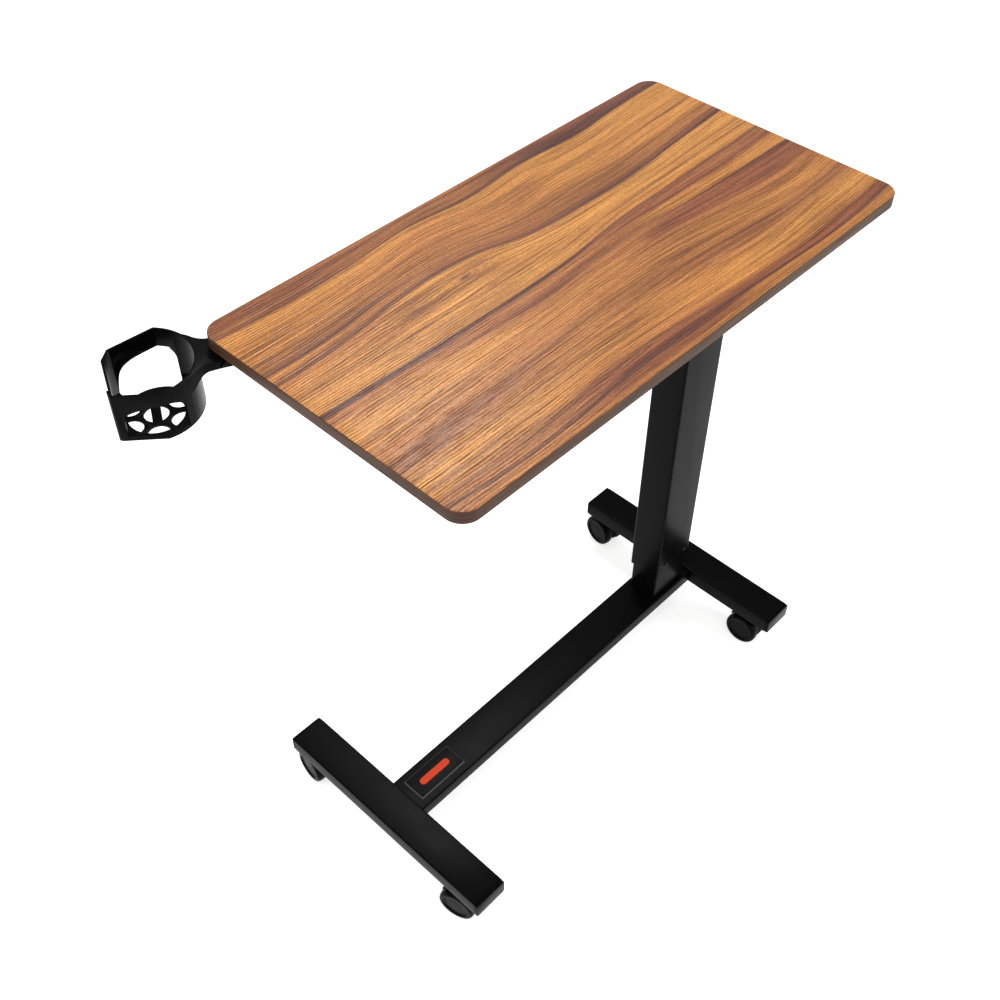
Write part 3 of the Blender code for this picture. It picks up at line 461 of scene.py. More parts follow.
RIGHT_TONES = (
    (0.000, HONEY), (0.035, OCHRE), (0.041, PLUM), (0.055, RED), (0.079, RED), (0.092, HONEY),
    (0.130, GOLD), (0.160, HONEY), (0.205, BROWN), (0.260, OCHRE), (0.305, HONEY), (0.345, OCHRE),
    (0.380, RED), (0.430, RED), (0.437, PLUM), (0.441, HONEY), (0.463, HONEY), (0.475, RED),
    (0.500, BROWN), (0.507, PLUM), (0.511, HONEY), (0.551, GOLD), (0.555, PLUM), (0.560, GOLD),
    (0.668, GOLD), (0.675, PLUM), (0.700, BROWN), (0.760, HONEY), (0.926, GOLD), (0.932, PLUM),
    (0.962, UMBER), (1.000, RED),
)


def vein(n, along, heights):
    """A grain line's place across the board, as a smooth curve of the place along it.

    Heights are millimetres from the board's middle, at even steps from the left end to the right.
    """
    made = n.node("ShaderNodeFloatCurve")
    curve = made.mapping.curves[0]
    half = 1000.0 * HALF_WIDTH
    steps = len(heights) - 1
    points = [(i / steps, (h + half) / (2 * half)) for i, h in enumerate(heights)]
    curve.points[0].location = points[0]
    curve.points[1].location = points[-1]
    for x, y in points[1:-1]:
        curve.points.new(x, y)
    for point in curve.points:
        point.handle_type = "AUTO"
    made.mapping.update()
    n.link(along, made.inputs["Value"])
    return made.outputs[0]


def veneer(n, x, y):
    """The figure of the wood: colour, and the coordinate that runs across the bent grain."""
    along = n.span(x, -HALF_LENGTH, HALF_LENGTH)
    across = n.span(y, -HALF_WIDTH, HALF_WIDTH)
    drift = n.noise(n.vector(n.math("MULTIPLY", x, 5.0), n.math("MULTIPLY", y, 14.0), 0.0), 1.0, 3.0, 0.5)
    across = n.math("ADD", across, n.math("MULTIPLY", n.math("SUBTRACT", drift, 0.5), 0.012))
    places = [(0.0, 0.0), *[(share, vein(n, along, heights)) for share, heights in VEINS], (1.0, 1.0)]
    straight = 0.0
    for (low_share, low), (high_share, high) in zip(places, places[1:]):
        part = n.span(across, low, high, 0.0, high_share - low_share)
        straight = n.math("ADD", straight, part)

    ragged = n.noise(n.vector(n.math("MULTIPLY", x, 6.0), n.math("MULTIPLY", straight, 22.0), 3.0),
                     1.0, 3.0, 0.6)
    side = n.math("ADD", along, n.math("MULTIPLY", n.math("SUBTRACT", ragged, 0.5), 0.45))
    base = n.mix(n.span(side, 0.20, 0.34, smooth_step=True), n.ramp(straight, LEFT_TONES),
                 n.ramp(straight, MIDDLE_TONES))
    base = n.mix(n.span(side, 0.50, 0.68, smooth_step=True), base, n.ramp(straight, RIGHT_TONES))
    return along, straight, base


def tinted(n, base, tint, power):
    """The base colour multiplied by a tint, as far as the power says."""
    return n.mix(power, base, n.mix(1.0, base, tint, "MULTIPLY"))


def wood_top():
    """Walnut-look laminate: bent grain with dark veins, a knot, fine pores and embossed ribs, with painted
    highlights on the rib crests and painted shade in their grooves.
    """
    n = Nodes("laminate_top_look")
    moved = n.node("ShaderNodeMapping")
    moved.inputs["Location"].default_value = (-BOARD_CENTRE.x, -BOARD_CENTRE.y, -BOARD_TOP)
    n.link(n.coords, moved.inputs["Vector"])
    x, y = n.axes(moved.outputs[0])[:2]
    along, straight, base = veneer(n, x, y)

    def grain(long_scale, cross_scale, detail, seed):
        return n.noise(n.vector(n.math("MULTIPLY", x, long_scale), n.math("MULTIPLY", straight, cross_scale),
                                seed), 1.0, detail, 0.6)

    tone = grain(3.0, 24.0, 3.0, 1.7)
    bands = grain(4.5, 85.0, 4.0, 5.1)
    lines = grain(7.0, 210.0, 3.0, 7.7)
    pores = grain(60.0, 420.0, 3.0, 9.3)
    base = tinted(n, base, (1.22, 1.20, 1.15), n.span(tone, 0.45, 0.68))
    base = tinted(n, base, (0.78, 0.75, 0.75), n.span(tone, 0.48, 0.32, 0.0, 0.8))
    base = tinted(n, base, (0.64, 0.59, 0.60), n.span(bands, 0.51, 0.62, 0.0, 0.95))
    base = tinted(n, base, (1.22, 1.22, 1.20), n.span(bands, 0.46, 0.34, 0.0, 0.9))
    base = tinted(n, base, (0.66, 0.61, 0.62), n.span(lines, 0.51, 0.58, 0.0, 0.90))
    base = tinted(n, base, (0.62, 0.58, 0.58), n.span(pores, 0.55, 0.68, 0.0, 0.55))

    # the knot, the dark streak beside it and two swirls near the right end
    def spot(cx, cy, rx, ry):
        """Distance from a spot's middle: nothing in the middle and one at its edge, a little ragged."""
        u = n.math("DIVIDE", n.math("SUBTRACT", x, cx), rx)
        v = n.math("DIVIDE", n.math("SUBTRACT", y, cy), ry)
        reach = n.math("SQRT", n.math("ADD", n.math("POWER", u, 2.0), n.math("POWER", v, 2.0)))
        wobble = n.math("SUBTRACT", n.noise(n.scaled((0.5, 1.3, 1.0)), 110.0, 3.0, 0.6), 0.5)
        return n.math("ADD", reach, n.math("MULTIPLY", wobble, 1.1))

    def blot(cx, cy, rx, ry, power):
        return n.span(spot(cx, cy, rx, ry), 0.15, 1.0, power, 0.0, smooth_step=True)

    rings = n.span(n.math("SINE", n.math("MULTIPLY", spot(-0.108, 0.063, 0.036, 0.015), 16.0)),
                   0.0, 1.0, 0.0, 0.55)
    base = n.mix(n.math("MULTIPLY", rings, blot(-0.100, 0.064, 0.070, 0.026, 1.0)), base, BROWN)
    base = n.mix(blot(-0.122, 0.062, 0.013, 0.007, 0.95), base, UMBER)
    base = n.mix(blot(-0.094, 0.072, 0.022, 0.008, 0.60), base, BROWN)
    base = n.mix(blot(-0.205, 0.057, 0.040, 0.0042, 0.85), base, UMBER)
    base = n.mix(blot(0.315, -0.062, 0.036, 0.0050, 0.70), base, UMBER)
    base = n.mix(blot(0.312, -0.112, 0.040, 0.0080, 0.55), base, BROWN)

    # embossed ribs: broken, slightly wavy lines four millimetres apart, deeper towards the left end; their
    # crests carry painted highlights and their grooves painted shade
    wander = n.noise(n.vector(n.math("MULTIPLY", x, 11.0), n.math("MULTIPLY", y, 30.0), 0.4),
                     1.0, 3.0, 0.55)
    fibre = n.math("ADD", n.math("MULTIPLY", straight, 0.45),
                   n.math("MULTIPLY", n.span(y, -HALF_WIDTH, HALF_WIDTH), 0.55))
    phase = n.math("ADD", n.math("MULTIPLY", fibre, 640.0), n.math("MULTIPLY", wander, 16.0))
    wave = n.math("SINE", phase)
    breaks = n.noise(n.vector(n.math("MULTIPLY", x, 26.0), n.math("MULTIPLY", y, 110.0), 2.0), 1.0, 3.0, 0.6)
    depth = n.math("MULTIPLY", n.span(breaks, 0.38, 0.58), n.span(along, 0.05, 0.75, 1.0, 0.35))
    ribs = n.math("MULTIPLY", wave, depth)
    mottle = n.noise(n.coords, 460.0, 2.0, 0.6)
    # painted shade in the rib grooves, then painted highlights on the rib crests
    base = tinted(n, base, (0.40, 0.35, 0.35), n.span(ribs, -0.25, -0.85, 0.0, 0.95))
    base = tinted(n, base, (1.34, 1.34, 1.32), n.span(ribs, -0.05, 0.60, 0.0, 0.95))
    base = tinted(n, base, (0.66, 0.62, 0.60), n.span(mottle, 0.45, 0.68, 0.0, 0.60))
    base = tinted(n, base, (1.18, 1.18, 1.16), n.span(mottle, 0.48, 0.36, 0.0, 0.80))
    height = n.math("ADD", ribs, n.math("MULTIPLY", mottle, 0.5))
    rough = n.math("ADD", n.span(mottle, 0.3, 0.7, 0.34, 0.42), n.span(ribs, -0.8, 0.2, 0.08, 0.0))
    return n.finish(base, rough, n.bump(height, 0.60, 0.00022), Specular_IOR_Level=0.30)


def edge_band():
    """The strip glued round the board's edge: a quieter brown, with lines that run along it."""
    n = Nodes("edge_band_look")
    x, y, z = n.axes()
    run = n.math("ADD", x, y)
    cross = n.math("SUBTRACT", x, y)
    lines = n.noise(n.vector(n.math("MULTIPLY", run, 8.0), n.math("MULTIPLY", cross, 8.0),
                             n.math("MULTIPLY", z, 900.0)), 1.0, 3.0, 0.55)
    broad = n.noise(n.vector(n.math("MULTIPLY", run, 5.0), n.math("MULTIPLY", cross, 5.0),
                             n.math("MULTIPLY", z, 120.0)), 1.0, 3.0, 0.55)
    base = n.mix(n.span(broad, 0.35, 0.68), (0.104, 0.050, 0.026), (0.054, 0.026, 0.016))
    base = n.mix(n.span(lines, 0.50, 0.62, 0.0, 0.7), base, (0.026, 0.014, 0.010))
    rough = n.span(lines, 0.3, 0.7, 0.42, 0.55)
    return n.finish(base, rough, n.bump(lines, 0.5, 0.0003), Specular_IOR_Level=0.12)


def underside():
    """The backing sheet under the board: plain warm grey-brown with a paper grain."""
    n = Nodes("backing_sheet_look")
    fibre = n.noise(n.scaled((0.25, 1.0, 1.0)), 380.0, 4.0, 0.6)
    cloud = n.noise(n.coords, 12.0, 4.0, 0.6)
    base = n.mix(n.span(cloud, 0.3, 0.7), (0.175, 0.095, 0.052), (0.215, 0.120, 0.066))
    base = n.mix(n.span(fibre, 0.5, 0.7, 0.0, 0.4), base, (0.110, 0.058, 0.034))
    rough = n.span(fibre, 0.3, 0.7, 0.50, 0.62)
    return n.finish(base, rough, n.bump(fibre, 0.2, 0.0002), Specular_IOR_Level=0.4)


POWDER = powder_coat()
PLASTIC = moulded_plastic("black_plastic_look", (0.0024, 0.0024, 0.0025), 0.26)
CUP_PLASTIC = moulded_plastic("cup_plastic_look", (0.0020, 0.0020, 0.0021), 0.25, 1200.0, 0.12, 0.040)
GLIDE_PLASTIC = moulded_plastic("glide_plastic_look", (0.30, 0.30, 0.29), 0.45, specular=0.4)
TREAD = wheel_tread()
ZINC = metal("zinc_look", (0.55, 0.55, 0.56), 0.34)
BLACK_STEEL = metal("black_oxide_look", (0.030, 0.030, 0.031), 0.36)
CHROME = metal("polished_rod_look", (0.78, 0.78, 0.79), 0.12, (1.0, 1.0, 0.05), 0.03)
WOOD_TOP = wood_top()
EDGE_BAND = edge_band()
BACKING = underside()


# ---------------------------------------------------------------- board

def make_board():
    size = extent("tabletop_board")
    board = prism("tabletop", [rounded_rectangle(size.x, size.y, BOARD_CORNER, 20)], size.z, BOARD_CENTRE)
    bevel(board, 0.0013, 4, 60.0)
    bake(board)
    smooth(board, 40.0)
    place(board, "tabletop_board", "wood_laminate", WOOD_TOP, EDGE_BAND, BACKING)
    flat = 0.80
    for face in board.data.polygons:
        if face.normal.z > flat:
            face.material_index = 0
        elif face.normal.z < -flat:
            face.material_index = 2
        else:
            face.material_index = 1


# ---------------------------------------------------------------- tubes

TUBE_TURN = {"X": (math.pi / 2, 0.0, math.pi / 2), "Y": (math.pi / 2, 0.0, math.pi), "Z": (0.0, 0.0, 0.0)}


def tube(name, node, axis, corner, wall):
    """A drawn rectangular tube with rounded corners, as large as the CAD node's box."""
    size = extent(node)
    width, height, length = {"X": (size.y, size.z, size.x), "Y": (size.x, size.z, size.y),
                             "Z": (size.x, size.y, size.z)}[axis]
    loops = [rounded_rectangle(width, height, corner, 8),
             rounded_rectangle(width - 2 * wall, height - 2 * wall, corner * 0.5, 4)]
    return bake(prism(name, loops, length, middle(node), TUBE_TURN[axis]))


def drill(obj, places, radius, length, axis):
    for at in places:
        cut(obj, cylinder("hole", radius, length, at, axis, 32))


def make_tubes():
    spine = tube("spine", "spine_tube", "X", 0.0028, 0.0015)
    bolts = [middle(f"column_bolt_{end}") for end in ("front", "rear")]
    drill(spine, [(b.x, b.y, middle("spine_tube").z) for b in bolts], 0.0044, 0.05, "Z")
    place(smooth(spine), "spine_tube", "black_powder_coat", POWDER)
    for end in ("front", "rear"):
        bar = tube(end + "_bar", end + "_crossbar", "Y", 0.0028, 0.0015)
        stems = [middle(f"{end}_{hand}_caster_stem") for hand in ("left", "right")]
        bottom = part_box(end + "_crossbar")[0][2]
        drill(bar, [(s.x, s.y, bottom) for s in stems], 0.0052, 0.006, "Z")
        place(smooth(bar), end + "_crossbar", "black_powder_coat", POWDER)

    inner = tube("inner_post", "inner_column", "Z", 0.0040, 0.002)
    anchor = middle("gas_spring_anchor_pin")
    drill(inner, [anchor], 0.0043, 0.08, "Y")
    place(smooth(inner), "inner_column", "black_powder_coat", POWDER)

    outer = tube("outer_post", "outer_column", "Z", 0.0036, 0.0015)
    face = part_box("outer_column")[0][1]
    glides = [middle(f"glide_screw_{end}") for end in ("front", "rear")]
    drill(outer, [(g.x, face, g.z) for g in glides], 0.0022, 0.006, "Y")
    place(smooth(outer), "outer_column", "black_powder_coat", POWDER)

    for hand in ("left", "right"):
        rail = tube(f"rail_{hand}", f"support_rail_{hand}", "X", 0.0022, 0.0015)
        screws = [middle(f"board_screw_{end}_{hand}") for end in ("front", "rear")]
        drill(rail, [(s.x, s.y, middle(f"support_rail_{hand}").z) for s in screws], 0.0029, 0.05, "Z")
        place(smooth(rail), f"support_rail_{hand}", "black_powder_coat", POWDER)


def make_end_caps():
    for end in ("front", "rear"):
        for hand, side in (("left", 1.0), ("right", -1.0)):
            node = f"{end}_{hand}_end_cap"
            low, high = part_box(node)
            at = middle(node)
            width, height = high[0] - low[0], high[2] - low[2]
            flange = 0.005
            outside = high[1] if side > 0 else low[1]
            cap = prism(node + "_moulding", [rounded_rectangle(width, height, 0.0042, 10)], flange,
                        (at.x, outside - side * flange / 2, at.z), TUBE_TURN["Y"])
            bevel(cap, 0.0011, 4, 50.0)
            bake(cap)
            plug = prism("plug", [rounded_rectangle(width - 0.0038, height - 0.0038, 0.002, 4)], 0.0145,
                         (at.x, outside - side * (flange + 0.0068), at.z), TUBE_TURN["Y"])
            join(cap, plug)
            place(smooth(cap), node, "black_plastic", PLASTIC)


def make_badge():
    size = extent("badge_plate")
    at = middle("badge_plate")
    slope = 0.0026
    plate = prism("badge", [rounded_rectangle(size.x, size.y, 0.0012, 4)], size.z, at)
    bake(plate)
    for vertex in plate.data.vertices:
        if vertex.co.z > at.z:
            vertex.co.x -= math.copysign(slope, vertex.co.x - at.x)
            vertex.co.y -= math.copysign(slope, vertex.co.y - at.y)
    bevel(plate, 0.0004, 3, 20.0)
    bake(plate)
    place(smooth(plate), "badge_plate", "black_plastic", badge_finish())


# ---------------------------------------------------------------- casters

def lathe_wheel(name, at, turn, outward):
    """A moulded wheel: rounded tread, raised ring and a slightly domed disc inside it."""
    inner, outer = 0.0070, 0.0232
    r = WHEEL_RADIUS
    profile = [(0.0, outer - 0.0018), (0.0140, outer - 0.0020), (0.0200, outer - 0.0024),
               (0.0212, outer - 0.0020), (0.0218, outer - 0.0008),
               (0.0226, outer - 0.0001), (0.0240, outer), (0.0262, outer - 0.0001), (0.0278, outer - 0.0008),
               (0.0290, outer - 0.0022), (0.0297, outer - 0.0042), (r, outer - 0.0060), (r, inner + 0.0050),
               (0.0296, inner + 0.0026), (0.0288, inner + 0.0010), (0.0276, inner), (0.0240, inner),
               (0.0232, inner + 0.0014), (0.0110, inner + 0.0014), (0.0100, inner), (0.0031, inner),
               (0.0031, outer - 0.0034), (0.0, outer - 0.0034)]
    wheel = turned(name, profile, 80)
    wheel.matrix_world = Matrix.Translation(at) @ Matrix.Rotation(turn, 4, "Z") @ Matrix.Rotation(
        outward * math.pi / 2, 4, "Y")
    return bake(wheel)


def make_hood(name, stem, turn):
    """The caster's moulded body: web, bridge, stem housing, curved fender and two cheeks."""
    hood = cylinder(name, 0.0200, 0.011, axis="X", steps=72)
    to_stem = -WHEEL_TRAIL
    top = 0.040
    join(hood, cylinder("housing", 0.0064, 0.015, (0.0, to_stem, top - 0.0155)))
    join(hood, cylinder("collar", 0.0095, 0.0088, (0.0, to_stem, top - 0.0044)))
    join(hood, block("bridge", (0.0106, 0.0240, 0.0215), (0.0, -0.0030, 0.0205)))
    fender = arc((0.0, 0.0), 0.0346, 40.0, 138.0, 28) + arc((0.0, 0.0), 0.0322, 138.0, 40.0, 28)
    join(hood, prism("fender", [fender], 0.032, rotation=TUBE_TURN["X"]))
    for side in (-1, 1):
        join(hood, block("cheek", (0.0016, 0.0130, 0.0112), (side * 0.0057, -0.0180, 0.0149)))
    cut(hood, cylinder("stem_bore", 0.00463, 0.030, (0.0, to_stem, top - 0.0068)))
    cut(hood, cylinder("axle_bore", 0.0033, 0.05, axis="X"))
    tidy_faces(hood)
    bevel(hood, 0.0006, 3, 35.0)
    bake(hood)
    smooth(hood, 40.0)
    hood.matrix_world = Matrix.Translation(stem) @ Matrix.Rotation(turn, 4, "Z") @ Matrix.Translation(
        (0.0, WHEEL_TRAIL, WHEEL_RADIUS))
    return bake(hood)


def make_casters():
    for name, degrees in CASTERS.items():
        turn = math.radians(degrees)
        bottom, top = (corner[2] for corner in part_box(f"{name}_caster_stem"))
        stem_at = Vector((*middle(f"{name}_caster_stem").xy, 0.0))
        wheel_at = stem_at + Matrix.Rotation(turn, 4, "Z") @ Vector((0.0, WHEEL_TRAIL, WHEEL_RADIUS))

        hood = make_hood(f"{name}_hood", stem_at, turn)
        place(hood, f"{name}_caster_hood", "black_plastic", PLASTIC)
        for side, outward in (("inner", 1.0), ("outer", -1.0)):
            wheel = lathe_wheel(f"{name}_{side}_disc", wheel_at, turn, outward)
            place(smooth(wheel), f"{name}_{side}_wheel", "black_tread", TREAD)

        profile = [(0.0, top), (0.0046, top), (0.0050, top - 0.0006), (0.0050, 0.0730), (0.0096, 0.0727),
                   (0.0100, 0.0723), (0.0100, 0.0707), (0.0096, 0.0703), (0.0045, 0.0703), (0.0045, 0.0500),
                   (0.0040, bottom), (0.0, bottom)]
        stem = turned(f"{name}_stem", profile, 48, stem_at)
        place(stem, f"{name}_caster_stem", "zinc_steel", ZINC)


# ---------------------------------------------------------------- cup holder

CUP_PIVOT = middle("cup_pivot_screw").xy
RING = (-0.121, 0.074)
RING_RADIUS = 0.0625
CUP_WALL = 0.003
CUP_DEPTH = 0.0655
CUP_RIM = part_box("cup_holder")[0][2] + CUP_DEPTH
RING_DEPTH = 0.025
# the ring's flat sides: the direction that each faces, in degrees, and its distance from the middle
CUP_FLATS = ((86.0, 0.0450), (127.4, 0.0450), (154.7, 0.0413), (228.5, 0.0568))
OPEN_FROM = 20.0
OPEN_FACING = 35.0
ARM_ANGLE = -31.4
ARM_DEPTH = 0.010
FAN_HUB = (RING[0] - 0.0052, RING[1] - 0.0176)
FAN_RADIUS = 0.033
LENS_RADIUS = 0.0132
LENS_ANGLES = (0.0, 120.0, 180.0, 240.0, 300.0)
DISC_RADIUS = 0.0145
BRIDGE_WIDTH = 0.0115
BRIDGE_ANGLE = 60.5


def flats_meet(first, second):
    """The corner where two flats' planes cross."""
    a, p = math.radians(first[0]), first[1]
    b, q = math.radians(second[0]), second[1]
    det = math.sin(b - a)
    return ((p * math.sin(b) - q * math.sin(a)) / det, (q * math.cos(a) - p * math.cos(b)) / det)


def ring_outline(inset):
    radius = RING_RADIUS - inset
    flats = [(angle, distance - inset) for angle, distance in CUP_FLATS]
    start = flats[-1][0] + math.degrees(math.acos(min(flats[-1][1] / radius, 1.0))) - 360.0
    end = flats[0][0] - math.degrees(math.acos(flats[0][1] / radius))
    points = arc((0.0, 0.0), radius, start, end, 64)
    points += [flats_meet(a, b) for a, b in zip(flats, flats[1:])]
    return shifted(points, RING)


def bent(points, steps=6):
    """A smooth line through given points (a Catmull-Rom spline)."""
    result = []
    padded = [points[0], *points, points[-1]]
    for a, b, c, d in zip(padded, padded[1:], padded[2:], padded[3:]):
        for i in range(steps):
            t = i / steps
            result.append(tuple(0.5 * (2 * q + (r - p) * t + (2 * p - 5 * q + 4 * r - s) * t ** 2
                                       + (3 * q - p - 3 * r + s) * t ** 3)
                                for p, q, r, s in zip(a, b, c, d)))
    return result + [points[-1]]


def arm_outline(inset):
    """The arm's outline about the pivot, drawn in its own frame and then turned to its angle."""
    near = bent([(0.0060, -0.0160), (0.056, -0.0213), (0.071, -0.0222), (0.079, -0.0265), (0.089, -0.0367),
                 (0.0955, -0.0420), (0.1000, -0.0440)])
    far = bent([(0.0980, 0.0420), (0.0930, 0.0400), (0.086, 0.0352), (0.079, 0.0292), (0.070, 0.0253),
                (0.056, 0.0240), (0.0060, 0.0180)])
    near = [(x, y + inset) for x, y in near]
    far = [(x, y - inset) for x, y in far]
    tip = arc((0.0, 0.0), 0.0170 - inset, 100.0, 260.0, 24)
    turn = math.radians(180.0 + ARM_ANGLE)
    c, s = math.cos(turn), math.sin(turn)
    points = [(x, -y) for x, y in near + [(0.120, -0.030), (0.120, 0.030)] + far + tip]
    return [(c * x - s * y, s * x + c * y) for x, y in reversed(points)]


def floor_outline():
    """The floor reaches half way into the walls and stops short of the openings."""
    sunk = CUP_WALL / 2
    flats = [(angle, distance - sunk) for angle, distance in CUP_FLATS]
    corners = [flats_meet(first, second) for first, second in zip(flats, flats[1:])]
    radius = RING_RADIUS - sunk
    start = flats[-1][0] + math.degrees(math.acos(flats[-1][1] / radius)) - 360.0
    end = OPEN_FROM - 1.0
    points = arc((0.0, 0.0), radius, start, end, 48)
    points += arc((0.0, 0.0), RING_RADIUS - CUP_WALL, end, 0.0, 1)[:1] + [(0.0465, 0.0020)]
    points += arc((0.0, -0.020), 0.045, 25.0, 110.0, 32)
    return shifted(points + corners, RING)


def floor_cut_outs():
    """Five lenses round a disc that a straight bridge splits in two."""
    centre = FAN_HUB
    half = 2.0 * math.degrees(math.asin(LENS_RADIUS / (2.0 * FAN_RADIUS)))
    shapes = []
    for angle in LENS_ANGLES:
        rim = arc(centre, FAN_RADIUS, angle, angle, 1)[0]
        inner = arc(rim, LENS_RADIUS, angle + 90.0 + half / 2, angle + 270.0 - half / 2, 32)
        shapes.append(arc(centre, FAN_RADIUS, angle - half, angle + half, 16) + inner[1:-1])
    chord = math.degrees(math.acos(BRIDGE_WIDTH / 2 / DISC_RADIUS))
    for angle in (BRIDGE_ANGLE - 90.0, BRIDGE_ANGLE + 90.0):
        shapes.append(arc(centre, DISC_RADIUS, angle - chord, angle + chord, 32))
    return shapes


def wall_cutter(name, outline, normal_angle, reach):
    turn = math.radians(normal_angle + 90.0)
    at = arc(RING, reach, normal_angle, normal_angle, 1)[0]
    return prism(name, [outline], 0.040, (*at, 0.0), (math.pi / 2, 0.0, turn))


def along_flat(index, corner):
    """How far along a flat one of its corners lies, counted from the foot of its normal."""
    turn = math.radians(CUP_FLATS[index][0] + 90.0)
    return corner[0] * math.cos(turn) + corner[1] * math.sin(turn)


def window_outline():
    arch = bent([(0.0085, -0.0300), (0.0200, -0.0245), (0.0320, -0.0210), (0.0430, -0.0183),
                 (0.0530, -0.0170), (0.0620, -0.0180), (0.0700, -0.0228), (0.0753, -0.0300)])
    sill = -CUP_DEPTH + CUP_WALL
    start = along_flat(3, flats_meet(CUP_FLATS[2], CUP_FLATS[3]))
    points = [(arch[0][0], sill), *arch, (arch[-1][0], sill)]
    return shifted(reversed(points), (start, 0.0))


def back_opening_outline():
    below = -CUP_DEPTH - 0.005
    sweep = bent([(0.0008, -0.0634), (0.0030, -0.0500), (0.0060, -0.0393), (0.0090, -0.0340),
                  (0.0134, -0.0303), (0.0190, -0.0278), (0.0254, -0.0262), (0.0400, -0.0252),
                  (0.0700, -RING_DEPTH)], 4)
    corner = along_flat(0, flats_meet(CUP_FLATS[0], CUP_FLATS[1]))
    outline = [(0.0008, below), *sweep, (0.0700, below)]
    return [(corner - distance, height) for distance, height in outline]


def side_opening_outline():
    below = -CUP_DEPTH - 0.005
    leg = RING_RADIUS * math.cos(math.radians(OPEN_FACING + 90.0 - OPEN_FROM))
    radius = 0.015
    fillet = arc((leg + radius, -RING_DEPTH - radius), radius, 180.0, 90.0, 20)
    return [(leg, below), *fillet, (0.012, -RING_DEPTH), (0.012, below)]


def corner_fin():
    """A wedge on the outside of the left leg's front corner, narrowing towards the floor."""
    fin = block("corner_fin", (1.0, 1.0, 1.0))
    corner = Vector(flats_meet(CUP_FLATS[2], CUP_FLATS[3])) + Vector(RING)
    back = Vector(flats_meet(CUP_FLATS[1], CUP_FLATS[2])) + Vector(RING) - corner
    back.normalize()
    front_angle = math.radians(CUP_FLATS[3][0] - 90.0)
    out = Vector((math.cos(front_angle), math.sin(front_angle)))
    inward = Vector((back.y, -back.x)) * CUP_WALL / 2
    for vertex in fin.data.vertices:
        top = vertex.co.z > 0.0
        away = (out * 0.0024 + back * 0.0120) if top else (out * 0.0022 + back * 0.0010)
        spot = corner.copy()
        if vertex.co.x < 0.0:
            spot += away if vertex.co.y > 0.0 else out * 0.0004
        else:
            spot += inward + back * (away.dot(back) if vertex.co.y > 0.0 else 0.0010)
        vertex.co = (*spot, -0.0004 if top else -CUP_DEPTH + 0.0006)
    return fin


def make_cup_holder():
    holder = prism("cup_holder_moulding", [ring_outline(0.0), ring_outline(CUP_WALL)], CUP_DEPTH,
                   (0.0, 0.0, -CUP_DEPTH / 2))
    bake(holder)
    cut(holder, wall_cutter("back_opening", back_opening_outline(), CUP_FLATS[0][0], 0.050))
    cut(holder, wall_cutter("side_opening", side_opening_outline(), OPEN_FACING, RING_RADIUS))
    cut(holder, wall_cutter("front_window", window_outline(), CUP_FLATS[3][0], 0.054))
    join(holder, corner_fin())
    join(holder, prism("cup_floor", [floor_outline(), *floor_cut_outs()], CUP_WALL,
                       (0.0, 0.0, -CUP_DEPTH + CUP_WALL / 2 + 0.0002)))
    arm_depth = 0.023
    arm = bake(prism("cup_arm", [arm_outline(0.0)], arm_depth, (0.0, 0.0, -arm_depth / 2 - 0.0003)))
    cut(arm, prism("arm_pocket", [arm_outline(CUP_WALL)], 0.040, (0.0, 0.0, -CUP_WALL - 0.020)))
    cut(arm, prism("cup_space", [ring_outline(CUP_WALL / 2)], 0.080))
    under = bent([(0.058, -ARM_DEPTH), (0.070, -0.0115), (0.078, -0.0145), (0.086, -0.0200),
                  (0.095, -0.0280)])
    under = [(-0.030, -ARM_DEPTH), *under, (0.095, -0.040), (-0.030, -0.040)]
    cut(arm, prism("arm_underside", [under[::-1]], 0.120, (0.0, 0.0, 0.0),
                   (math.pi / 2, 0.0, math.radians(180.0 + ARM_ANGLE))))
    boss_top = 0.0012
    boss_height = ARM_DEPTH + boss_top
    join(holder, arm)
    join(holder, cylinder("pivot_boss", 0.009, boss_height, (0.0, 0.0, boss_top - boss_height / 2)))
    cut(holder, cylinder("pivot_bore", 0.00314, 0.05))
    tidy_faces(holder, 0.5)
    bevel(holder, 0.0006, 3, 35.0)
    bake(holder)
    smooth(holder, 40.0)
    holder.matrix_world = Matrix.Translation((*CUP_PIVOT, CUP_RIM))
    bake(holder)
    place(holder, "cup_holder", "black_plastic", CUP_PLASTIC)


# ---------------------------------------------------------------- pieces carried over

CARRIED = {
    "column_foot": ZINC, "column_bolt_front": BLACK_STEEL, "column_bolt_rear": BLACK_STEEL,
    "gas_spring_cylinder": POWDER, "gas_spring_anchor_pin": ZINC, "upper_glide_bush": GLIDE_PLASTIC,
    "lower_glide_liner": GLIDE_PLASTIC, "glide_screw_front": BLACK_STEEL, "glide_screw_rear": BLACK_STEEL,
    "column_head_plate": POWDER,
    "board_screw_front_left": BLACK_STEEL, "board_screw_front_right": BLACK_STEEL,
    "board_screw_rear_left": BLACK_STEEL, "board_screw_rear_right": BLACK_STEEL,
    "gas_spring_rod": CHROME, "rod_nut": ZINC, "lever_bracket": ZINC, "lever_pivot_pin": ZINC,
    "cup_pivot_screw": BLACK_STEEL, "release_lever": ZINC, "release_grip": PLASTIC, "release_pin": ZINC,
}


def dress_carried_nodes():
    for name in CASTERS:
        CARRIED[f"{name}_axle"] = ZINC
        CARRIED[f"{name}_brake_tab"] = PLASTIC
    for node, material in CARRIED.items():
        obj = frame["nodes"][node]
        for slot in obj.material_slots:
            slot.material = material
        if not obj.material_slots:
            obj.data.materials.append(material)


# ---------------------------------------------------------------- studio

def area_light(name, at, target, size, power):
    data = bpy.data.lights.new(name, "AREA")
    data.shape = "RECTANGLE"
    data.size, data.size_y = size
    data.energy = power
    lamp = bpy.data.objects.new(name, data)
    bpy.context.scene.collection.objects.link(lamp)
    lamp.location = at
    lamp.rotation_euler = (Vector(target) - Vector(at)).to_track_quat("-Z", "Y").to_euler()


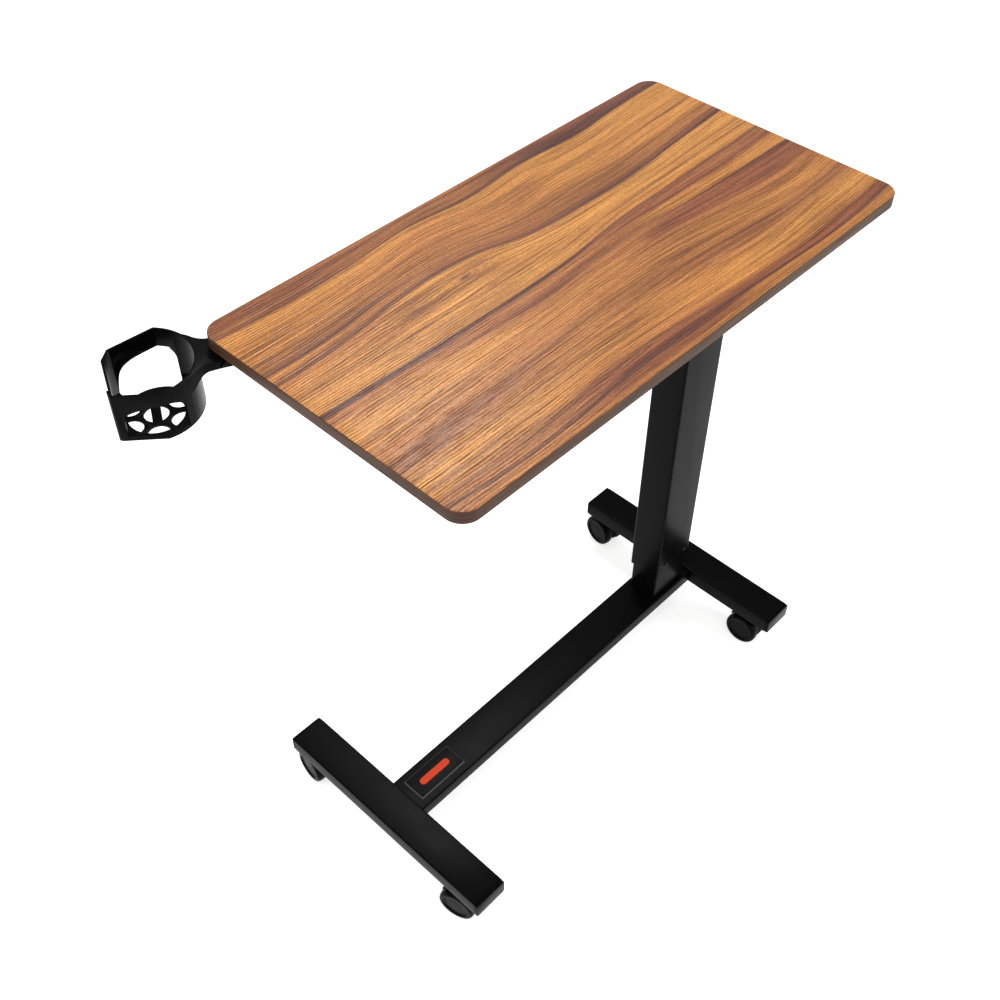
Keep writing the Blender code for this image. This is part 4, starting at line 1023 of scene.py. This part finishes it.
def make_studio():
    scene = bpy.context.scene
    floor = bpy.data.meshes.new("studio_floor")
    bm = bmesh.new()
    bmesh.ops.create_grid(bm, x_segments=1, y_segments=1, size=30.0)
    bm.to_mesh(floor)
    bm.free()
    floor_object = link("studio_floor", floor)
    floor_object.location.z = -0.0006
    n = Nodes("studio_floor_look")
    n.finish((0.93, 0.93, 0.93), 0.9, Specular_IOR_Level=0.1, Emission_Color=(1.0, 1.0, 1.0, 1.0),
             Emission_Strength=0.60)
    floor.materials.append(n.material)

    world = bpy.data.worlds.new("studio")
    scene.world = world
    world.use_nodes = True
    background = world.node_tree.nodes["Background"]
    background.inputs["Color"].default_value = (1.0, 1.0, 1.0, 1.0)
    background.inputs["Strength"].default_value = 0.50

    centre = (0.0, 0.0, 0.5)
    area_light("key", (0.95, 1.15, 3.10), centre, (0.6, 0.6), 30.0)
    area_light("overhead", (-0.8, -0.4, 3.4), centre, (1.6, 1.6), 42.0)
    area_light("right_strip", (1.2, -2.2, 0.9), (0.35, 0.0, 0.42), (0.5, 0.5), 16.0)
    area_light("left_fill", (-2.6, -0.4, 1.2), centre, (0.8, 1.0), 12.0)
    scene.view_settings.view_transform = "Standard"
    scene.view_settings.look = "None"


def make_camera():
    """The camera stands left of and in front of the near corner, looking down along the board."""
    board = Vector((BOARD_CENTRE.x, BOARD_CENTRE.y, BOARD_TOP))
    data = bpy.data.cameras.new("camera")
    data.lens = 45.71
    data.sensor_width = 36.0
    camera = bpy.data.objects.new("camera", data)
    bpy.context.scene.collection.objects.link(camera)
    forward = Vector((0.5007, 0.4746, -0.7239)).normalized()
    right = Vector((0.6907, -0.7231, 0.0037))
    right = (right - forward * right.dot(forward)).normalized()
    up = right.cross(forward)
    turn = Matrix((right, up, -forward)).transposed()
    camera.matrix_world = Matrix.Translation(board + Vector((-0.9792, -0.8089, 0.9018))) @ turn.to_4x4()
    bpy.context.scene.camera = camera


make_camera()
make_studio()
make_board()
make_tubes()
make_end_caps()
make_badge()
make_casters()
make_cup_holder()
dress_carried_nodes()
